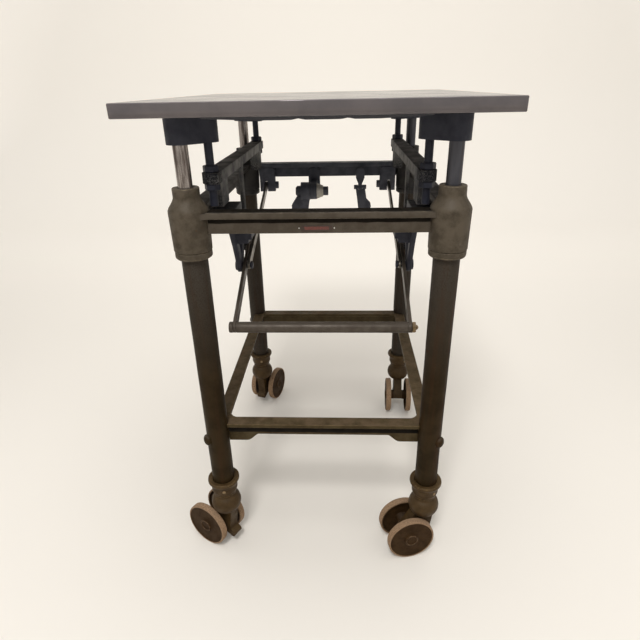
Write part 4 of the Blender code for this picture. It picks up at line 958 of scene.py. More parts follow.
class Bench:
    """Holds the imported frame, the finishes and the trees, and puts finished pieces in place."""

    def __init__(self, frame: dict[str, Any]) -> None:
        """Builds what the pieces share.
        """
        effects = Effects()
        self.nodes = frame["nodes"]
        self.joints = {joint["name"]: joint for joint in frame["joints"]}
        groups = frame["record"]["behaviour"]["bodies"]
        self.bodies = {node: body for body, nodes in groups.items() for node in nodes}
        self.materials = {finish: finish.value.material(effects) for finish in Finish}
        self.trees = {shape: head_tree(shape) for shape in HeadShape}

    def place(self, name: str, mesh: bpy.types.Mesh, finish: Finish, body: str,
              stands_for: Sequence[str] = ()) -> None:
        """Makes a piece that rides on a body.

        Args:
            name: the piece's name.
            mesh: its mesh, already in place.
            finish: its finish.
            body: the CAD body that it moves with.
            stands_for: CAD nodes that it replaces.
        """
        piece = put(name, mesh)
        if not mesh.materials:
            mesh.materials.append(self.materials[finish])
        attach(piece, body)
        if stands_for:
            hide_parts(*stands_for)
        LOG.info("%s rides on %s", name, body)

    def add(self, name: str, shape: Shape, finish: Finish) -> None:
        """Puts a small shape of its own on the fixed frame."""
        self.place(name, shape.finished(name), finish, "frame")

    def stand_in(self, node: str, shape: Shape, finish: Finish) -> None:
        """Puts a shape in place of the CAD node of the same name."""
        name = f"{node}_dressed"
        self.place(name, shape.finished(name), finish, self.bodies[node], (node,))

    def soften(self, node: str, finish: Finish, width: float, segments: int = 2) -> None:
        """Puts a copy of a CAD node, with rounded edges, in its place."""
        self.stand_in(node, Shape.of_node(self.nodes[node]).soften(width, segments), finish)

    def heads(self, name: str, head: Head, spots: Sequence[Spot], body: str = "frame") -> None:
        """Makes fastener heads with a point tree.

        Args:
            name: the piece's name.
            head: their form, size and finish.
            spots: the place and the aim of each head.
            body: the CAD body that they move with.
        """
        data = bpy.data.meshes.new(name)
        data.from_pydata([spot for spot, _ in spots], [], [])
        aims = data.attributes.new("aim", "FLOAT_VECTOR", "POINT")
        for index, (_, aim) in enumerate(spots):
            aims.data[index].vector = aim
        carrier = put(f"{name}_points", data)
        step = carrier.modifiers.new("heads", "NODES")
        step.node_group = self.trees[head.form]
        values = {"Radius": head.radius, "Height": head.height, "Finish": self.materials[head.finish]}
        for item in step.node_group.interface.items_tree:
            if item.in_out == "INPUT" and item.name in values:
                step[item.identifier] = values[item.name]
        bpy.context.view_layer.update()
        graph = bpy.context.evaluated_depsgraph_get()
        made = bpy.data.meshes.new_from_object(carrier.evaluated_get(graph))
        made.name = name
        carrier.modifiers.clear()
        bpy.data.objects.remove(carrier)
        made.shade_smooth()
        made.set_sharp_from_angle(angle=SMOOTH)
        self.place(name, made, head.finish, body)

    def turned(self, node: str, profile: Outline, finish: Finish, rounding: float, segments: int = FINE,
               skin: Point = (0.0, 0.0)) -> None:
        """Puts a shape turned about a CAD node's upright axis in that node's place.

        Args:
            node: the node's name.
            profile: the turning outline, from the node's foot up.
            finish: its finish.
            rounding: the corners' rounding.
            segments: facets round the axis.
            skin: the depth and scale of a cast skin, or a depth of 0.
        """
        shape = Shape().turn(profile, Matrix.Translation(self.axis_of(node)), rounding, segments)
        if skin[0]:
            shape.roughen(*skin)
        self.stand_in(node, shape, finish)

    @staticmethod
    def height_of(node: str) -> float:
        """Returns how tall a node's box is."""
        low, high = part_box(node)
        return high.z - low.z

    def axis_of(self, node: str) -> Vector:
        """Returns the centre of a node's box, at its lowest height."""
        low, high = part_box(node)
        return Vector(((low.x + high.x) / 2, (low.y + high.y) / 2, low.z))

    def corner_spots(self, part: str, rise: float, reach: float, aims: Sequence[Point]) -> list[Spot]:
        """Finds a spot on the side of each corner's round part.

        Args:
            part: the start of the nodes' names.
            rise: the spots' height above the nodes' feet.
            reach: the part's radius there.
            aims: for each corner, the way out in X and Y.

        Returns:
            The place and the aim of each spot.
        """
        spots = []
        for corner, aim in zip(CORNERS, aims):
            out = Vector((*aim, 0.0)).normalized()
            middle = self.axis_of(f"{part}_{corner}") + Vector((0.0, 0.0, rise))
            spots.append((middle + out * reach, out))
        return spots


@dataclass
class Assembly:
    """One part of the table, built on the bench."""

    bench: Bench

    def shadow_line(self, name: str, face: Point, heights: Point) -> None:
        """Puts a thin line of painted shadow on a front rail's web, in the corner under its flange, where the
        flange's shadow falls.

        Args:
            name: its name.
            face: half the line's length, and where the web's face is along Y.
            heights: its low and high edge.
        """
        half, depth = face
        low, high = heights
        outline = [(-half, high), (half, high)] + ragged(half, low, SHADE_PITCH, low * SHADE_ROW)
        place = Matrix.Translation((0.0, depth + SHADE_SKIN, 0.0)) @ UPRIGHT
        self.bench.add(name, Shape().plate(outline, place, 2 * SHADE_SKIN), Finish.PAINTED_SHADE)


@dataclass
class TableTop(Assembly):
    """The thick top plate with its rubbed, chipped edge, and the nicked rib between its front blocks, painted
    dark as shade.
    """

    spacing: float = 0.005
    rounding: float = 0.0016
    bend: float = 0.3
    rim: float = 3.0
    lower_wear: float = 0.7
    thickness: float = 0.0235
    chip_depth: float = 0.0004
    chip_scale: float = 38.0
    chip_start: float = 0.30
    chip_gain: float = 3.0
    rib_half: float = 0.1985
    rib_depth: float = 0.0099
    rib_wall: float = 0.0080
    rib_place: float = -0.3075
    rib_lap: float = 0.0040
    rib_steps: int = 90
    rib_taper: float = 0.09
    rib_end: float = 0.62
    nick_depth: float = 0.0022
    nick_half: float = 0.0120
    nicks: tuple[float, ...] = (-0.031, 0.054)

    def build(self) -> None:
        """Builds the plate ring by ring round its edge, closes it above and below, and adds the rib."""
        low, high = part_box("table_top")
        low.z = high.z - self.thickness
        shape = Shape()
        r = self.rounding
        s = self.bend * r
        rim = self.rim * r
        section = [(rim, high.z, 0.0), (r, high.z, 0.0), (s, high.z - s, 1.0), (0.0, high.z - r, 0.0)]
        section += [(0.0, (low.z + high.z) / 2, 0.0), (0.0, low.z + r, 0.0)]
        section += [(s, low.z + s, self.lower_wear), (r, low.z, 0.0), (rim, low.z, 0.0)]
        rings = []
        for inset, height, worn in section:
            ring = []
            for x, y in self._perimeter(low, high, inset):
                point = self._chipped(Vector((x, y, height)), (low + high) / 2, worn)
                vert = shape.mesh.verts.new(point)
                vert[shape.edge] = worn
                ring.append(vert)
            rings.append(ring)
        for upper, lower in zip(rings, rings[1:]):
            shape.wall(upper, lower)
        shape.mesh.faces.new(rings[0])
        shape.mesh.faces.new(list(reversed(rings[-1])))
        self._rib(shape, low.z)
        self.bench.stand_in("table_top", shape, Finish.TOP)

    def _perimeter(self, low: Vector, high: Vector, inset: float) -> Outline:
        """Returns the points of an inset outline, as many at every inset.

        Args:
            low: the plate's low corner.
            high: its high corner.
            inset: how far inside the edge.

        Returns:
            The points, in order round the plate.
        """
        across = round((high.x - low.x) / self.spacing)
        along = round((high.y - low.y) / self.spacing)
        x0, x1, y0, y1 = low.x + inset, high.x - inset, low.y + inset, high.y - inset
        points = [(x0 + (x1 - x0) * i / across, y0) for i in range(across)]
        points += [(x1, y0 + (y1 - y0) * i / along) for i in range(along)]
        points += [(x1 - (x1 - x0) * i / across, y1) for i in range(across)]
        points += [(x0, y1 - (y1 - y0) * i / along) for i in range(along)]
        return points

    def _chipped(self, point: Vector, centre: Vector, worn: float) -> Vector:
        """Returns a point of the edge, chipped inwards where noise says so.

        Args:
            point: the point.
            centre: the plate's centre.
            worn: its wear.

        Returns:
            The point, moved.
        """
        bite = max(0.0, noise.noise(point * self.chip_scale) - self.chip_start)
        bite *= self.chip_depth * worn * self.chip_gain
        inward = (centre - point).normalized()
        return point + Vector((inward.x, inward.y, 0.0)) * bite

    def _rib(self, shape: Shape, underside: float) -> None:
        """Adds the rib under the plate, shallower at its ends and nicked along its lower edge; its band value
        paints it dark as shade.

        Args:
            shape: the top's shape.
            underside: the height of the plate's underside.
        """
        outline = []
        for step in range(self.rib_steps + 1):
            x = self.rib_half * (2.0 * step / self.rib_steps - 1.0)
            nick = max(max(0.0, 1.0 - abs(x - place) / self.nick_half) for place in self.nicks)
            taper = min(1.0, (self.rib_half - abs(x)) / self.rib_taper)
            depth = self.rib_depth * (self.rib_end + (1.0 - self.rib_end) * taper) - self.nick_depth * nick
            outline.append((x, underside - depth))
        outline += [(self.rib_half, underside + self.rib_lap), (-self.rib_half, underside + self.rib_lap)]
        place = Matrix.Translation((0.0, self.rib_place + self.rib_wall / 2, 0.0)) @ UPRIGHT
        # The band value paints the rib dark as shade.
        shape.patch(outline, place, self.rib_wall, shape.band, 1.0)


@dataclass
class LiftGear(Assembly):
    """What rises with the top: corner blocks, guide rods, hanger rods with their nuts, and the lift bars."""

    block_guide: float = 0.0235
    block_hanger: float = 0.0205
    block_rounding: float = 0.0022
    block_steps: int = 28
    rod_radius: float = 0.0135
    hanger_radius: float = 0.0079
    nut: Head = Head(HeadShape.HEX, 0.0148, 0.012, Finish.HANGER)
    lit_half: float = 0.248
    shaded_half: float = 0.262
    bar_rounding: float = 0.0013
    bar_height: float = 0.0205
    rounding: float = 0.0012
    seat: float = 0.0003

    def build(self) -> None:
        """Builds every rising piece under the plate; the left guide rods get the bright finish and the others
        the dull one.
        """
        bar_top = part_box("lift_bar_left")[1].z
        bar_low = bar_top - self.bar_height - self.seat
        up = Vector((0.0, 0.0, 1.0))
        nuts = []
        for corner in CORNERS:
            self._block(corner)
            finish = Finish.BRIGHT_ROD if "left" in corner else Finish.DULL_ROD
            self._rod(f"guide_rod_{corner}", self.rod_radius, finish, FINE)
            self._rod(f"hanger_rod_{corner}", self.hanger_radius, Finish.HANGER, MEDIUM)
            axis = self.bench.axis_of(f"hanger_rod_{corner}")
            for height in (bar_low - self.nut.height, bar_top + self.seat):
                nuts.append((Vector((axis.x, axis.y, height)), up))
        self.bench.heads("hanger_nuts", self.nut, nuts, "top")
        for side in SIDES:
            self._bar(f"lift_bar_{side}", bar_low - self.bar_rounding)

    def _bar(self, node: str, shaded_low: float) -> None:
        """Builds one lift bar, with painted shade on its legs and its ends, which its band value makes
        near-black.

        Args:
            node: its CAD node.
            shaded_low: the height below which it is painted near-black as shade.
        """
        shape = Shape.of_node(self.bench.nodes[node]).soften(self.bar_rounding)
        mesh = shape.mesh
        for reach in (self.lit_half, self.shaded_half):
            for place in (-reach, reach):
                parts = [*mesh.verts, *mesh.edges, *mesh.faces]
                bmesh.ops.bisect_plane(mesh, geom=parts, plane_co=(0, place, 0), plane_no=(0, 1, 0))
        # Painted shade: the legs and the ends take the band value that paints them near-black.
        for vert in mesh.verts:
            shaded = vert.co.z < shaded_low or abs(vert.co.y) > self.shaded_half - self.bar_rounding
            vert[shape.band] = 1.0 if shaded else 0.0
        self.bench.stand_in(node, shape, Finish.LIFT_BAR)

    def _block(self, corner: str) -> None:
        """Builds one oblong block that holds the upper ends of a guide rod and a hanger rod.

        Args:
            corner: which corner.
        """
        node = f"corner_block_{corner}"
        low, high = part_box(node)
        guide = self.bench.axis_of(f"guide_rod_{corner}").xy
        hanger = self.bench.axis_of(f"hanger_rod_{corner}").xy
        outline = belt(guide, self.block_guide, hanger, self.block_hanger, self.block_steps)
        shape = Shape().plate(outline, Matrix.Translation((0.0, 0.0, low.z)), high.z - low.z)
        self.bench.stand_in(node, shape.soften(self.block_rounding, 3), Finish.BLOCK)

    def _rod(self, node: str, radius: float, finish: Finish, segments: int) -> None:
        """Builds one upright rod."""
        self.bench.turned(node, rod(radius, self.bench.height_of(node)), finish, self.rounding, segments)


@dataclass
class LegSet(Assembly):
    """Four tubular legs and the collar castings on their tops."""

    tube_radius: float = 0.0254
    tube_wall: float = 0.004
    tube_rings: int = 24
    tube_rounding: float = 0.0006
    tube_skin: Point = (0.0005, 14.0)
    pale_start: float = 0.48
    pale_run: float = 0.25
    neck: float = 0.0250
    neck_low: float = 0.1160
    shoulder: float = 0.0376
    flare_steps: int = 12
    barrel_top: float = 0.0885
    waist: float = 0.0363
    seam: float = 0.0155
    groove: float = 0.0020
    ring: float = 0.0353
    foot: float = 0.0030
    bore: float = 0.0140
    seat_rise: float = 0.078
    play: float = 0.0003
    rounding: float = 0.0022
    cast_skin: Point = (0.0006, 42.0)
    plug: Head = Head(HeadShape.DOME, 0.0030, 0.0016, Finish.CASTING)
    plug_rise: float = 0.030
    plug_turn: float = 0.45

    def build(self) -> None:
        """Builds the tubes, the collars and the little plugs on the collars."""
        for corner in CORNERS:
            self._tube(corner)
            self._collar(corner)
        aims = mirrored(self.plug_turn, 1.0)
        spots = self.bench.corner_spots("leg_collar", self.plug_rise, self.waist, aims)
        self.bench.heads("collar_plugs", self.plug, spots)

    def _tube(self, corner: str) -> None:
        """Builds one leg tube, a little dented.

        Args:
            corner: which corner.
        """
        node = f"leg_tube_{corner}"
        length = self.bench.height_of(node)
        inner = self.tube_radius - self.tube_wall
        rings = self.tube_rings
        profile = [(self.tube_radius, length * step / rings) for step in range(rings + 1)]
        profile += [(inner, length), (inner, 0.0)]
        place = Matrix.Translation(self.bench.axis_of(node))
        shape = Shape().turn(profile, place, self.tube_rounding, ROUND).roughen(*self.tube_skin)
        start = 0.0 if "rear" in corner else self.pale_start
        for vert in shape.mesh.verts:
            vert[shape.band] = min(1.0, max(0.0, (vert.co.z - start) / self.pale_run))
        self.bench.stand_in(node, shape, Finish.LEG)

    def _collar(self, corner: str) -> None:
        """Builds one collar: neck, smooth shoulder, barrel, seam and tapered foot.

        Args:
            corner: which corner.
        """
        node = f"leg_collar_{corner}"
        tall = self.bench.height_of(node)
        tube = self.tube_radius + self.play
        profile = [(self.bore, tall), (self.neck, tall)]
        profile += s_curve((self.neck, self.neck_low), (self.shoulder, self.barrel_top), self.flare_steps)
        profile += [
            (self.waist, self.seam),
            (self.ring - self.groove, self.seam - self.groove / 2),
            (self.ring, self.seam - self.groove),
            (self.ring, self.foot),
            (self.ring - self.foot, 0.0),
            (tube, 0.0),
            (tube, self.seat_rise),
            (self.bore, self.seat_rise),
        ]
        # The rear collars take the darker copy, painted shade.
        finish = Finish.SHADED_REAR_CASTING if "rear" in corner else Finish.CASTING
        self.bench.turned(node, profile, finish, self.rounding, FINE, self.cast_skin)


@dataclass
class UpperFrame(Assembly):
    """The T rails between the collars, with their cast saddles, the painted shade on and under the front
    rail's flange, and the blank plate in front.
    """

    rounding: float = 0.0016
    flange: float = 0.0120
    flange_out: float = 0.0195
    flange_in: float = 0.0145
    web_out: float = 0.0075
    saddle: float = 0.025
    saddle_wear: float = 0.35
    barrel: float = 0.0372
    tuck: float = 0.002
    fillet_steps: int = 6
    shadow_drop: float = 0.0085
    shelf_edge: float = 0.0065
    shelf_pitch: float = 35.0
    shelf_row: float = 3.0
    plate_width: float = 0.0580
    plate_height: float = 0.0098
    plate_wall: float = 0.0012
    plate_rise: float = 0.0100
    plate_shift: float = -0.003
    corner_share: float = 0.2
    corner_steps: int = 4
    band_width: float = 0.0450
    band_share: float = 0.30
    pin: Head = Head(HeadShape.DOME, 0.0014, 0.0012, Finish.PALE)
    pin_gap: float = 0.0035
    seat: float = 0.0003

    def build(self) -> None:
        """Builds the rails, the painted shadow under the front flange, the painted shade on its top, and the
        plate.
        """
        for rail, finish in RAIL_FINISH.items():
            node = f"upper_{rail}_rail"
            shape = Shape.of_node(self.bench.nodes[node]).soften(self.rounding, 3)
            self._saddles(shape, node, rail)
            self.bench.stand_in(node, shape, finish)
        low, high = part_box("upper_front_rail")
        half = self.bench.axis_of("leg_collar_front_right").x - self.barrel
        top = high.z - self.flange
        # Painted shadow: a dark line on the web where the flange's shadow falls.
        self.shadow_line("upper_flange_shadow", (half, low.y + self.web_out), (top - self.shadow_drop, top))
        self._shelf_shade(half)
        self._plate()

    def _shelf_shade(self, half: float) -> None:
        """Paints shade on the front rail's top, which the table top shades, as a thin dark skin, short of its
        rubbed front edge.

        Args:
            half: half the skin's length.
        """
        low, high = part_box("upper_front_rail")
        back = high.y - self.rounding
        outline = ragged(half, low.y + self.shelf_edge, self.shelf_pitch, self.shelf_row)
        outline += [(-half, back), (half, back)]
        place = Matrix.Translation((0.0, 0.0, high.z - SHADE_SKIN))
        # Painted shade on the rail's top.
        self.bench.add("upper_shelf_shade", Shape().plate(outline, place, 2 * SHADE_SKIN), Finish.PAINTED_SHADE)

    def _saddles(self, shape: Shape, node: str, rail: str) -> None:
        """Adds the small cast fillets where a rail's flange runs into its collars.

        Args:
            shape: the rail's shape.
            node: its CAD node.
            rail: which rail.
        """
        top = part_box(node)[1].z
        across = rail in ("front", "rear")
        for corner in CORNERS:
            if rail not in corner.split("_"):
                continue
            axis = self.bench.axis_of(f"leg_collar_{corner}")
            sideways = Vector((math.copysign(1.0, axis.x), 0.0))
            endways = Vector((0.0, math.copysign(1.0, axis.y)))
            lengthwise, outward = (-sideways, endways) if across else (-endways, sideways)
            reaches = [(self.flange_out, outward)]
            if not across:
                reaches.append((self.flange_in, -outward))
            for reach, aim in reaches:
                outline = self._fillet(reach)
                points = [Vector(axis.xy) + lengthwise * u + aim * v for u, v in outline]
                place = Matrix.Translation((0.0, 0.0, top - self.flange + self.rounding / 2))
                wall = self.flange - self.rounding
                shape.patch([(p.x, p.y) for p in points], place, wall, shape.edge, self.saddle_wear)

    def _fillet(self, reach: float) -> Outline:
        """Returns a fillet between a flange's edge and a collar, along and out from the leg's axis.

        Args:
            reach: how far the flange's edge lies from the leg's axis.

        Returns:
            The outline.
        """
        away = reach + self.saddle
        along = math.sqrt((self.barrel + self.saddle) ** 2 - away ** 2)
        first = math.atan2(-away, -along)
        outline = arc((along, away), self.saddle, -math.pi / 2, first, self.fillet_steps)
        inner = math.asin(reach / self.barrel)
        outer = math.atan2(away, along)
        outline += arc((0.0, 0.0), self.barrel - self.tuck, outer, inner, self.corner_steps)
        outline.append((math.sqrt(self.barrel ** 2 - reach ** 2), reach - self.tuck))
        outline.append((along, reach - self.tuck))
        return outline

    def _plate(self) -> None:
        """Builds the blank plate with a plain red band, and the pins that hold it."""
        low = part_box("upper_front_rail")[0]
        face = low.y + self.web_out - self.seat
        height = low.z + self.plate_rise
        half = self.plate_width / 2
        corner = self.plate_height * self.corner_share
        outline = []
        for sx, sz, start in ((1, 1, 0.0), (-1, 1, 0.5), (-1, -1, 1.0), (1, -1, 1.5)):
            centre = (self.plate_shift + sx * (half - corner), height + sz * (self.plate_height / 2 - corner))
            outline += arc(centre, corner, start * math.pi, (start + 0.5) * math.pi, self.corner_steps)
        place = Matrix.Translation((0.0, face, 0.0)) @ UPRIGHT
        shape = Shape().plate(outline, place, self.plate_wall).soften(self.plate_wall / 4)
        self.bench.add("blank_plate", shape, Finish.PLATE)
        inner = self.band_width / 2
        tall = self.plate_height * self.band_share
        signs = ((-1, -1), (1, -1), (1, 1), (-1, 1))
        strip = [(self.plate_shift + sx * inner, height + sz * tall) for sx, sz in signs]
        lift = Matrix.Translation((0.0, self.seat / 3 - self.plate_wall, 0.0)) @ place
        band = Shape()
        self.bench.add("blank_plate_band", band.patch(strip, lift, self.seat, band.band, 1.0), Finish.PLATE)
        front = Vector((0.0, -1.0, 0.0))
        reach = half + self.pin_gap
        pins = [(Vector((self.plate_shift + sign * reach, face, height)), front) for sign in (-1, 1)]
        self.bench.heads("plate_pins", self.pin, pins)


@dataclass
class LowerFrame(Assembly):
    """The lower rails, the painted shadow under the front rail's flange, and the round bolt heads on the
    legs.
    """

    rounding: float = 0.0020
    bolt: Head = Head(HeadShape.DOME, 0.0132, 0.0085, Finish.LEG)
    bolt_drop: float = 0.036
    bolt_turn: float = 0.75
    leg_radius: float = 0.0254
    corner_fillet: float = 0.022
    fillet_steps: int = 8
    flange: float = 0.009
    web_half: float = 0.0045
    shadow_drop: float = 0.0190
    lap: float = 0.001
    tuck: float = 0.002

    def build(self) -> None:
        """Builds the rails, their corner fillets, the painted shadow under the front flange and the bolt
        heads.
        """
        for rail in RAIL_FINISH:
            node = f"lower_{rail}_rail"
            shape = Shape.of_node(self.bench.nodes[node]).soften(self.rounding, 3)
            if rail in ("front", "rear"):
                self._fillets(shape, node)
            self.bench.stand_in(node, shape, Finish.LOWER_RAIL)
        low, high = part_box("lower_front_rail")
        under = high.z - self.flange
        middle = (low.y + high.y) / 2
        leg = self.bench.axis_of("leg_tube_front_right")
        face = (leg.x - self.leg_radius, middle - self.web_half)
        # Painted shadow: a dark line on the web where the flange's shadow falls.
        self.shadow_line("lower_flange_shadow", face, (under - self.shadow_drop, under))
        aims = mirrored(1.0, self.bolt_turn)
        rise = high.z - self.bolt_drop - leg.z
        spots = self.bench.corner_spots("leg_tube", rise, self.leg_radius, aims)
        self.bench.heads("leg_bolts", self.bolt, spots)

    def _fillets(self, shape: Shape, node: str) -> None:
        """Adds the rounded webs in the inner corners of the flanges.

        Args:
            shape: the rail's shape.
            node: its CAD node.
        """
        low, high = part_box(node)
        inner = low.y if low.y > 0 else high.y
        toward = -1.0 if low.y > 0 else 1.0
        for side in SIDES:
            rail_low, rail_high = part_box(f"lower_{side}_rail")
            edge = rail_high.x if side == "left" else rail_low.x
            way = 1.0 if side == "left" else -1.0
            r = self.corner_fillet
            outline = [(-self.lap, -self.tuck), (r, -self.tuck)]
            outline += arc((r, r), r, -math.pi / 2, -math.pi, self.fillet_steps) + [(-self.lap, r)]
            points = [(edge + way * u, inner + toward * v) for u, v in outline]
            place = Matrix.Translation((0.0, 0.0, high.z - self.flange + self.lap))
            shape.plate(points, place, self.flange - 2 * self.lap)


@dataclass
class BailLever(Assembly):
    """The bail with its grip, the hangers that carry it, and the stays back to the rear rail."""

    arm_rounding: float = 0.0009
    arm_wall: float = 0.007
    grip_radius: float = 0.0121
    grip_rounding: float = 0.0012
    bolt_radius: float = 0.006
    head_radius: float = 0.0122
    head_height: float = 0.008
    nut: Head = Head(HeadShape.HEX, 0.01281, 0.0077, Finish.BRASS)
    cap: Head = Head(HeadShape.DOME, 0.006, 0.00616, Finish.BRASS)
    seat: float = 0.0003
    hanger_rounding: float = 0.0014
    stay_rounding: float = 0.0007
    bracket_rounding: float = 0.0013

    def build(self) -> None:
        """Builds the lever and what holds it."""
        self._grip()
        for side in SIDES:
            self.bench.soften(f"bail_arm_{side}", Finish.BAIL, self.arm_rounding)
            self.bench.soften(f"bail_hanger_{side}", Finish.BLOCK, self.hanger_rounding)
            self.bench.soften(f"stay_bar_{side}", Finish.STAY, self.stay_rounding)
            self.bench.soften(f"rear_bracket_{side}", Finish.BLUE_SHADED_IRON, self.bracket_rounding)

    def _grip(self) -> None:
        """Builds the grip tube with its bolt head at the left, and the worn nut at the right."""
        low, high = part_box("bail_grip")
        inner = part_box("bail_arm_right")[0].x - self.seat
        outer = inner + self.arm_wall + 2 * self.seat
        axis = Vector((0.0, (low.y + high.y) / 2, (low.z + high.z) / 2))
        place = axis_frame(axis, (1.0, 0.0, 0.0))
        grip, bolt = self.grip_radius, self.bolt_radius
        profile = [
            (0.0, -outer - self.head_height),
            (self.head_radius, -outer - self.head_height),
            (self.head_radius, -outer),
            (bolt, -outer),
            (bolt, -inner),
            (grip, -inner),
            (grip, inner),
            (bolt, inner),
            (bolt, outer),
            (0.0, outer),
        ]
        shape = Shape().turn(profile, place, self.grip_rounding, ROUND)
        self.bench.stand_in("bail_grip", shape, Finish.BAIL)
        nut = axis + Vector((outer, 0.0, 0.0))
        aim = Vector((1.0, 0.0, 0.0))
        self.bench.heads("bail_nut", self.nut, [(nut, aim)], "bail")
        self.bench.heads("bail_nut_cap", self.cap, [(nut + aim * self.nut.height, aim)], "bail")


@dataclass
class RearControls(Assembly):
    """The lock and the release lever on the rear rail."""

    rounding: float = 0.0012
    washer_radius: float = 0.0215
    washer_end: float = 0.0145
    washer_length: float = 0.0184
    washer_wall: float = 0.0006
    washer_rounding: float = 0.0008
    lock_right: float = -0.0290

    def build(self) -> None:
        """Builds both brackets, both levers and the pale washer on the lock's bolt."""
        for node in ("lock_bracket", "release_bracket", "lock_lever", "release_lever"):
            self.bench.soften(node, Finish.BLUE_SHADED_IRON, self.rounding)
        axis = Vector(self.bench.joints["lock_lever_pivot"]["pos_m"])
        start = Vector((self.lock_right + self.washer_wall, axis.y, axis.z))
        wall = self.washer_wall
        profile = [
            (0.0, 0.0),
            (self.washer_radius + wall, 0.0),
            (self.washer_end + wall, self.washer_length),
            (0.0, self.washer_length),
        ]
        shape = Shape().turn(profile, axis_frame(start, (1.0, 0.0, 0.0)), self.washer_rounding, MEDIUM)
        self.bench.add("lock_washer", shape, Finish.PALE)


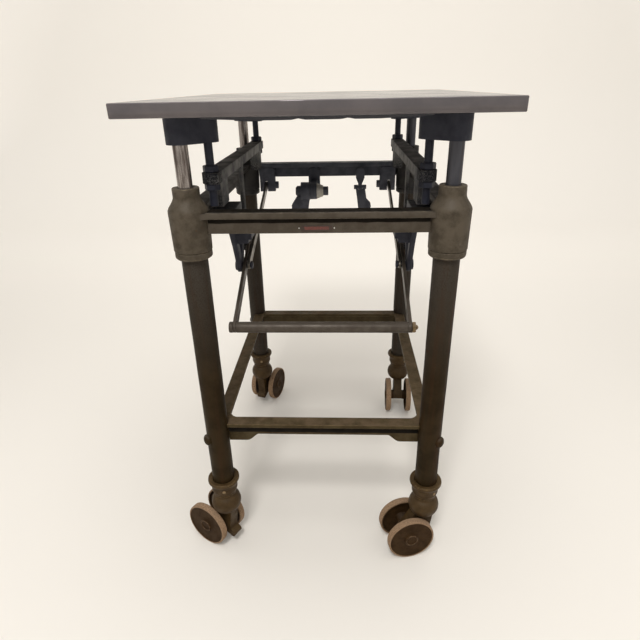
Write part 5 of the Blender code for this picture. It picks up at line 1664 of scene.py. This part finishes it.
@dataclass
class CasterSet(Assembly):
    """Four casters: a turned cup on the leg, a ball and fork under it, and two wheels on one axle."""

    cup_radius: float = 0.0372
    cup_lip: float = 0.0045
    lip_low: float = 1.6
    lip_in: float = 0.8
    lip_under: float = 2.6
    cup_bore: float = 0.0257
    cup_floor: float = 0.0307
    cup_step: float = 0.004
    bead_out: float = 0.001
    bead: float = 0.002
    body_radius: float = 0.0308
    body_low: float = 0.45
    neck_radius: float = 0.0272
    neck_high: float = 0.18
    cup_rounding: float = 0.0026
    cup_skin: Point = (0.0004, 60.0)
    screw: Head = Head(HeadShape.DOME, 0.0042, 0.0018, Finish.BRASS)
    screw_rise: float = 0.020
    screw_sink: float = 0.0006
    screw_aims: tuple[Point, ...] = ((0.18, -1.0), (0.75, -1.0)) * 2
    stem_bore: float = 0.0105
    stem_radius: float = 0.0100
    stem_length: float = 0.026
    neck_top: float = 0.1589
    neck_in: float = 0.002
    ball_radius: float = 0.0358
    ball_centre: float = 0.1290
    ball_rise: float = 0.0300
    ball_start: float = math.radians(52.0)
    ball_steps: int = 9
    ball_fullness: float = 0.8
    ball_rounding: float = 0.002
    fork_half: float = 0.0130
    web_share: float = 0.62
    web_drop: float = 0.020
    web_steps: int = 10
    web_rounding: float = 0.003
    toe_radius: float = 0.0085
    toe_clear: float = 0.0250
    toe_hollow: float = 0.0075
    toe_arc: Point = (0.72 * math.pi, 1.75 * math.pi)
    toe_neck: Point = (2.6, 1.5)
    boss_radius: float = 0.0150
    boss_arc: Point = (1.35 * math.pi, 2.2 * math.pi)
    axle_radius: float = 0.0063
    axle_rounding: float = 0.001
    fork_skin: Point = (0.0003, 70.0)
    wheel_width: float = 0.0165
    wheel_rim: float = 0.0060
    wheel_face: float = 0.0012
    face_middle: float = 0.6
    face_crown: float = 0.0004
    hub_radius: float = 0.0165
    hub_ring: float = 0.0022
    hub_rise: float = 0.0026
    hub_sink: float = 0.4
    ring_in: float = 1.6
    ring_out: float = 0.5
    rim_step: float = 0.002
    tread_in: float = 0.0012
    tread_drop: float = 0.0016
    dish: float = 0.0068
    draft: float = 0.001
    cap_wall: float = 0.0032
    band_start: float = 0.0019
    play: float = 0.0005
    wheel_rounding: float = 0.0009
    wheel_skin: Point = (0.0002, 70.0)

    def build(self) -> None:
        """Builds the four casters and the set screws in their cups."""
        for corner in CORNERS:
            self._socket(corner)
            self._fork(corner)
            for side in SIDES:
                self._wheel(corner, side)
        reach = self.body_radius - self.screw_sink
        spots = self.bench.corner_spots("caster_socket", self.screw_rise, reach, self.screw_aims)
        self.bench.heads("cup_screws", self.screw, spots)

    def _socket(self, corner: str) -> None:
        """Builds one turned cup with its rolled lip and narrow neck.

        Args:
            corner: which corner.
        """
        node = f"caster_socket_{corner}"
        tall = self.bench.height_of(node)
        base = self.cup_floor - self.cup_step
        profile = [
            (self.cup_bore, tall),
            (self.cup_radius - self.cup_lip / 3, tall),
            (self.cup_radius, tall - self.cup_lip / 2),
            (self.cup_radius, tall - self.cup_lip * self.lip_low),
            (self.cup_radius - self.cup_lip * self.lip_in, tall - self.cup_lip * self.lip_under),
            (self.body_radius + self.bead_out, base),
            (self.body_radius, base - self.bead),
            (self.body_radius, base * self.body_low),
            (self.neck_radius, base * self.neck_high),
            (self.neck_radius, 0.0),
            (self.stem_bore, 0.0),
            (self.stem_bore, self.cup_floor),
            (self.cup_bore, self.cup_floor),
        ]
        self.bench.turned(node, profile, Finish.CASTER, self.cup_rounding, FINE, self.cup_skin)

    def _fork(self, corner: str) -> None:
        """Builds one fork: stem, flattened ball, web with a rounded toe, and the axle.

        Args:
            corner: which corner.
        """
        node = f"caster_fork_{corner}"
        swivel = Vector(self.bench.joints[f"caster_swivel_{corner}"]["pos_m"])
        axles = [Vector(self.bench.joints[f"wheel_spin_{corner}_{side}"]["pos_m"]) for side in SIDES]
        middle = (axles[0] + axles[1]) / 2
        trail = Vector((middle.x - swivel.x, middle.y - swivel.y, 0.0))
        turn = Matrix.Rotation(math.atan2(trail.y, trail.x), 4, "Z")
        place = Matrix.Translation((swivel.x, swivel.y, 0.0)) @ turn
        stem_top = self.neck_top + self.stem_length
        profile = [(0.0, stem_top), (self.stem_radius, stem_top)]
        profile += [(self.stem_radius, self.neck_top), (self.neck_radius - self.neck_in, self.neck_top)]
        for step in range(self.ball_steps):
            angle = self.ball_start - (self.ball_start + math.pi / 2) * step / self.ball_steps
            radius = self.ball_radius * math.cos(angle) ** self.ball_fullness
            profile.append((radius, self.ball_centre + self.ball_rise * math.sin(angle)))
        profile.append((0.0, self.ball_centre - self.ball_rise))
        shape = Shape()
        upright = Matrix(((1, 0, 0, 0), (0, 0, -1, self.fork_half), (0, 1, 0, 0), (0, 0, 0, 1)))
        shape.plate(self._web(trail.length, middle.z), place @ upright, 2 * self.fork_half)
        shape.soften(self.web_rounding, 3).turn(profile, place, self.ball_rounding)
        reach = (axles[1] - axles[0]).length / 2 + self.wheel_width / 4
        start = middle - (axles[1] - middle).normalized() * reach
        axle = rod(self.axle_radius, 2 * reach)
        shape.turn(axle, axis_frame(start, axles[1] - axles[0]), self.axle_rounding, MEDIUM)
        self.bench.stand_in(node, shape.roughen(*self.fork_skin), Finish.CASTER)

    def _web(self, trail: float, height: float) -> Outline:
        """Returns the fork's web in lengths along the trail and up: toe in front, axle boss behind.

        Args:
            trail: the axle's distance behind the swivel.
            height: the axle's height.

        Returns:
            The outline.
        """
        top = self.ball_centre - self.ball_rise / 2
        half = self.ball_radius * self.web_share
        toe = (-half + self.toe_radius / 2, self.toe_clear + self.toe_radius)
        waist = -half + self.toe_hollow
        outline = [(half, top), (-half, top), (-half + self.toe_hollow / 4, top - self.web_drop)]
        outline += [(waist, toe[1] + rise * self.toe_radius) for rise in self.toe_neck]
        outline += arc(toe, self.toe_radius, *self.toe_arc, self.web_steps)
        outline += arc((trail, height), self.boss_radius, *self.boss_arc, self.web_steps)
        return outline

    def _wheel(self, corner: str, side: str) -> None:
        """Builds one wheel: capped hub with a ring, flat face, pale worn tread, dished inside.

        Args:
            corner: which corner.
            side: which wheel of the caster.
        """
        node = f"caster_wheel_{corner}_{side}"
        joint = self.bench.joints[f"wheel_spin_{corner}_{side}"]
        other = self.bench.joints[f"wheel_spin_{corner}_{SIDES[1 - SIDES.index(side)]}"]
        centre = Vector(joint["pos_m"])
        away = centre - Vector(other["pos_m"])
        inner_hub = away.length / 2 - self.fork_half - self.play
        radius = centre.z
        half = self.wheel_width / 2
        face = half - self.wheel_face
        rim = radius - self.wheel_rim
        bore = self.axle_radius + self.play
        profile = [
            (0.0, half + self.hub_rise * self.hub_sink),
            (self.hub_radius - 2 * self.hub_ring, half + self.hub_rise * self.hub_sink),
            (self.hub_radius - self.ring_in * self.hub_ring, half + self.hub_rise),
            (self.hub_radius - self.ring_out * self.hub_ring, half + self.hub_rise),
            (self.hub_radius, face),
            (rim * self.face_middle, face + self.face_crown),
            (rim, face),
            (rim + self.rim_step, half),
            (radius - self.tread_in, half),
            (radius, half - self.tread_drop),
            (radius, self.tread_drop - half),
            (radius - self.tread_in, -half),
            (rim, -half),
            (rim - self.draft, self.dish - half),
            (self.hub_radius, self.dish - half),
            (self.hub_radius - self.draft, -inner_hub),
            (bore, -inner_hub),
            (bore, half - self.cap_wall),
            (0.0, half - self.cap_wall),
        ]
        band = (rim + self.band_start, radius + self.draft)
        shape = Shape().turn(profile, axis_frame(centre, away), self.wheel_rounding, FINE, band)
        self.bench.stand_in(node, shape.roughen(*self.wheel_skin), Finish.WHEEL)


@dataclass(frozen=True)
class Viewpoint:
    """Where the photograph was taken from; angles in radians, the focal length in pixels of its frame."""

    place: tuple[float, float, float] = (0.0431, -1.2191, 1.0535)
    yaw: float = -0.0483
    pitch: float = 0.4434
    roll: float = 0.0207
    focal_px: float = 497.41
    frame_px: float = 640.0
    sensor_mm: float = 36.0

    def build(self) -> None:
        """Makes the camera and sets it as the scene's own."""
        level = math.cos(self.pitch)
        forward = Vector((math.sin(self.yaw) * level, math.cos(self.yaw) * level, -math.sin(self.pitch)))
        right = Vector((math.cos(self.yaw), -math.sin(self.yaw), 0.0))
        down = forward.cross(right)
        tilted = right * math.cos(self.roll) + down * math.sin(self.roll)
        sunk = down * math.cos(self.roll) - right * math.sin(self.roll)
        lens = bpy.data.cameras.new("photo_camera")
        lens.sensor_width = self.sensor_mm
        lens.lens = self.focal_px / self.frame_px * self.sensor_mm
        camera = put("photo_camera", lens)
        turn = Matrix((tilted, -sunk, -forward)).transposed().to_4x4()
        camera.matrix_world = Matrix.Translation(self.place) @ turn
        bpy.context.scene.camera = camera


def seen_only(wiring: Wiring, value: Any) -> Socket:
    """Returns a value where something is looked at, straight or by reflection, and 0 where it only lights.

    Args:
        wiring: the tree's wiring.
        value: the value, or the socket that gives it.

    Returns:
        The socket of the result.
    """
    path = wiring.add("ShaderNodeLightPath").outputs
    seen = wiring.math("MAXIMUM", path["Is Camera Ray"], path["Is Glossy Ray"])
    seen = wiring.math("MAXIMUM", seen, path["Is Transmission Ray"])
    return wiring.times(seen, value)


@dataclass(frozen=True)
class Lamp:
    """A square area lamp that faces a target; its power is in watts."""

    name: str
    place: tuple[float, float, float]
    target: tuple[float, float, float]
    size: float
    power: float

    def build(self) -> None:
        """Makes the lamp."""
        data = bpy.data.lights.new(self.name, "AREA")
        data.size = self.size
        data.energy = self.power
        aim = Vector(self.target) - Vector(self.place)
        turn = aim.to_track_quat("-Z", "Y").to_matrix().to_4x4()
        put(self.name, data).matrix_world = Matrix.Translation(self.place) @ turn


@dataclass
class Studio:
    """A plain pale floor that sweeps up behind, and soft light."""

    floor_half: float = 9.0
    sweep_start: float = 2.6
    sweep_radius: float = 1.2
    sweep_steps: int = 16
    wall_height: float = 5.0
    floor_colour: RGB = (0.72, 0.68, 0.62)
    floor_rough: float = 0.85
    glow_colour: RGB = (0.82, 0.78, 0.715)
    glow: float = 0.44
    glow_start: float = 0.2
    floor_glow: float = 0.12
    rim: tuple[float, float] = (2.2, 7.0)
    rim_glow: float = 0.80
    sky_colour: RGB = (1.0, 0.97, 0.925)
    sky_glow: float = 0.84
    ambient: float = 0.44
    lamps: tuple[Lamp, ...] = (
        Lamp("key_lamp", (-0.35, -2.35, 3.55), (0.0, -0.2, 0.7), 0.75, 84.0),
        Lamp("fill_lamp", (2.3, -1.9, 1.7), (0.0, 0.0, 0.55), 1.8, 5.0),
        Lamp("top_lamp", (0.1, 0.1, 3.4), (0.0, 0.0, 0.6), 2.4, 52.0),
    )

    def build(self) -> None:
        """Builds the floor, the world and the lamps."""
        self._floor()
        self._world()
        for lamp in self.lamps:
            lamp.build()
        bpy.context.scene.view_settings.view_transform = "Standard"

    def _floor(self) -> None:
        """Builds the floor and its sweep as one strip."""
        run = [(-self.floor_half, 0.0), (self.sweep_start, 0.0)]
        centre = (self.sweep_start, self.sweep_radius)
        run += arc(centre, self.sweep_radius, -math.pi / 2, 0.0, self.sweep_steps)[1:]
        run.append((self.sweep_start + self.sweep_radius, self.wall_height))
        mesh = bmesh.new()
        rows = [[mesh.verts.new((x, y, z)) for x in (-self.floor_half, self.floor_half)] for y, z in run]
        for near, far in zip(rows, rows[1:]):
            mesh.faces.new((near[0], near[1], far[1], far[0]))
        data = bpy.data.meshes.new("studio_floor")
        mesh.to_mesh(data)
        mesh.free()
        data.shade_smooth()
        paint = bpy.data.materials.new("studio floor paint")
        paint.use_nodes = True
        shader = paint.node_tree.nodes["Principled BSDF"]
        wiring = Wiring(paint.node_tree)
        spot = wiring.add("ShaderNodeTexCoord").outputs["Object"]
        distance = wiring.add("ShaderNodeSeparateXYZ", {0: spot}).outputs[1]
        rise = wiring.step(distance, self.glow_start, self.sweep_start, self.floor_glow, self.glow)
        away = wiring.add("ShaderNodeVectorMath", {0: spot}, operation="LENGTH").outputs["Value"]
        rim = wiring.step(away, *self.rim, 0.0, self.rim_glow)
        rise = wiring.math("MAXIMUM", rise, rim)
        colours = {"Base Color": (*self.floor_colour, 1.0), "Emission Color": (*self.glow_colour, 1.0)}
        glow = seen_only(wiring, rise)
        wiring.feed(shader, {"Roughness": self.floor_rough, "Emission Strength": glow, **colours})
        data.materials.append(paint)
        floor = put("studio_floor", data)

    def _world(self) -> None:
        """Lights the scene with an even pale sky, paler where it is seen than where it lights."""
        world = bpy.data.worlds.new("studio_sky")
        world.use_nodes = True
        sky = world.node_tree.nodes["Background"]
        wiring = Wiring(world.node_tree)
        lit = wiring.plus(seen_only(wiring, self.sky_glow - self.ambient), self.ambient)
        wiring.feed(sky, {"Color": (*self.sky_colour, 1.0), "Strength": lit})
        bpy.context.scene.world = world


def main() -> None:
    """Loads the frame, dresses each sub-assembly in turn, and sets the stage."""
    logging.basicConfig(level=logging.INFO, format="%(name)s: %(message)s")
    for item in list(bpy.data.objects):
        bpy.data.objects.remove(item)
    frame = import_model()
    bench = Bench(frame)
    for assembly in (TableTop, LiftGear, LegSet, UpperFrame, LowerFrame, BailLever, RearControls, CasterSet):
        assembly(bench).build()
    Viewpoint().build()
    Studio().build()


if __name__ == "__main__":
    main()
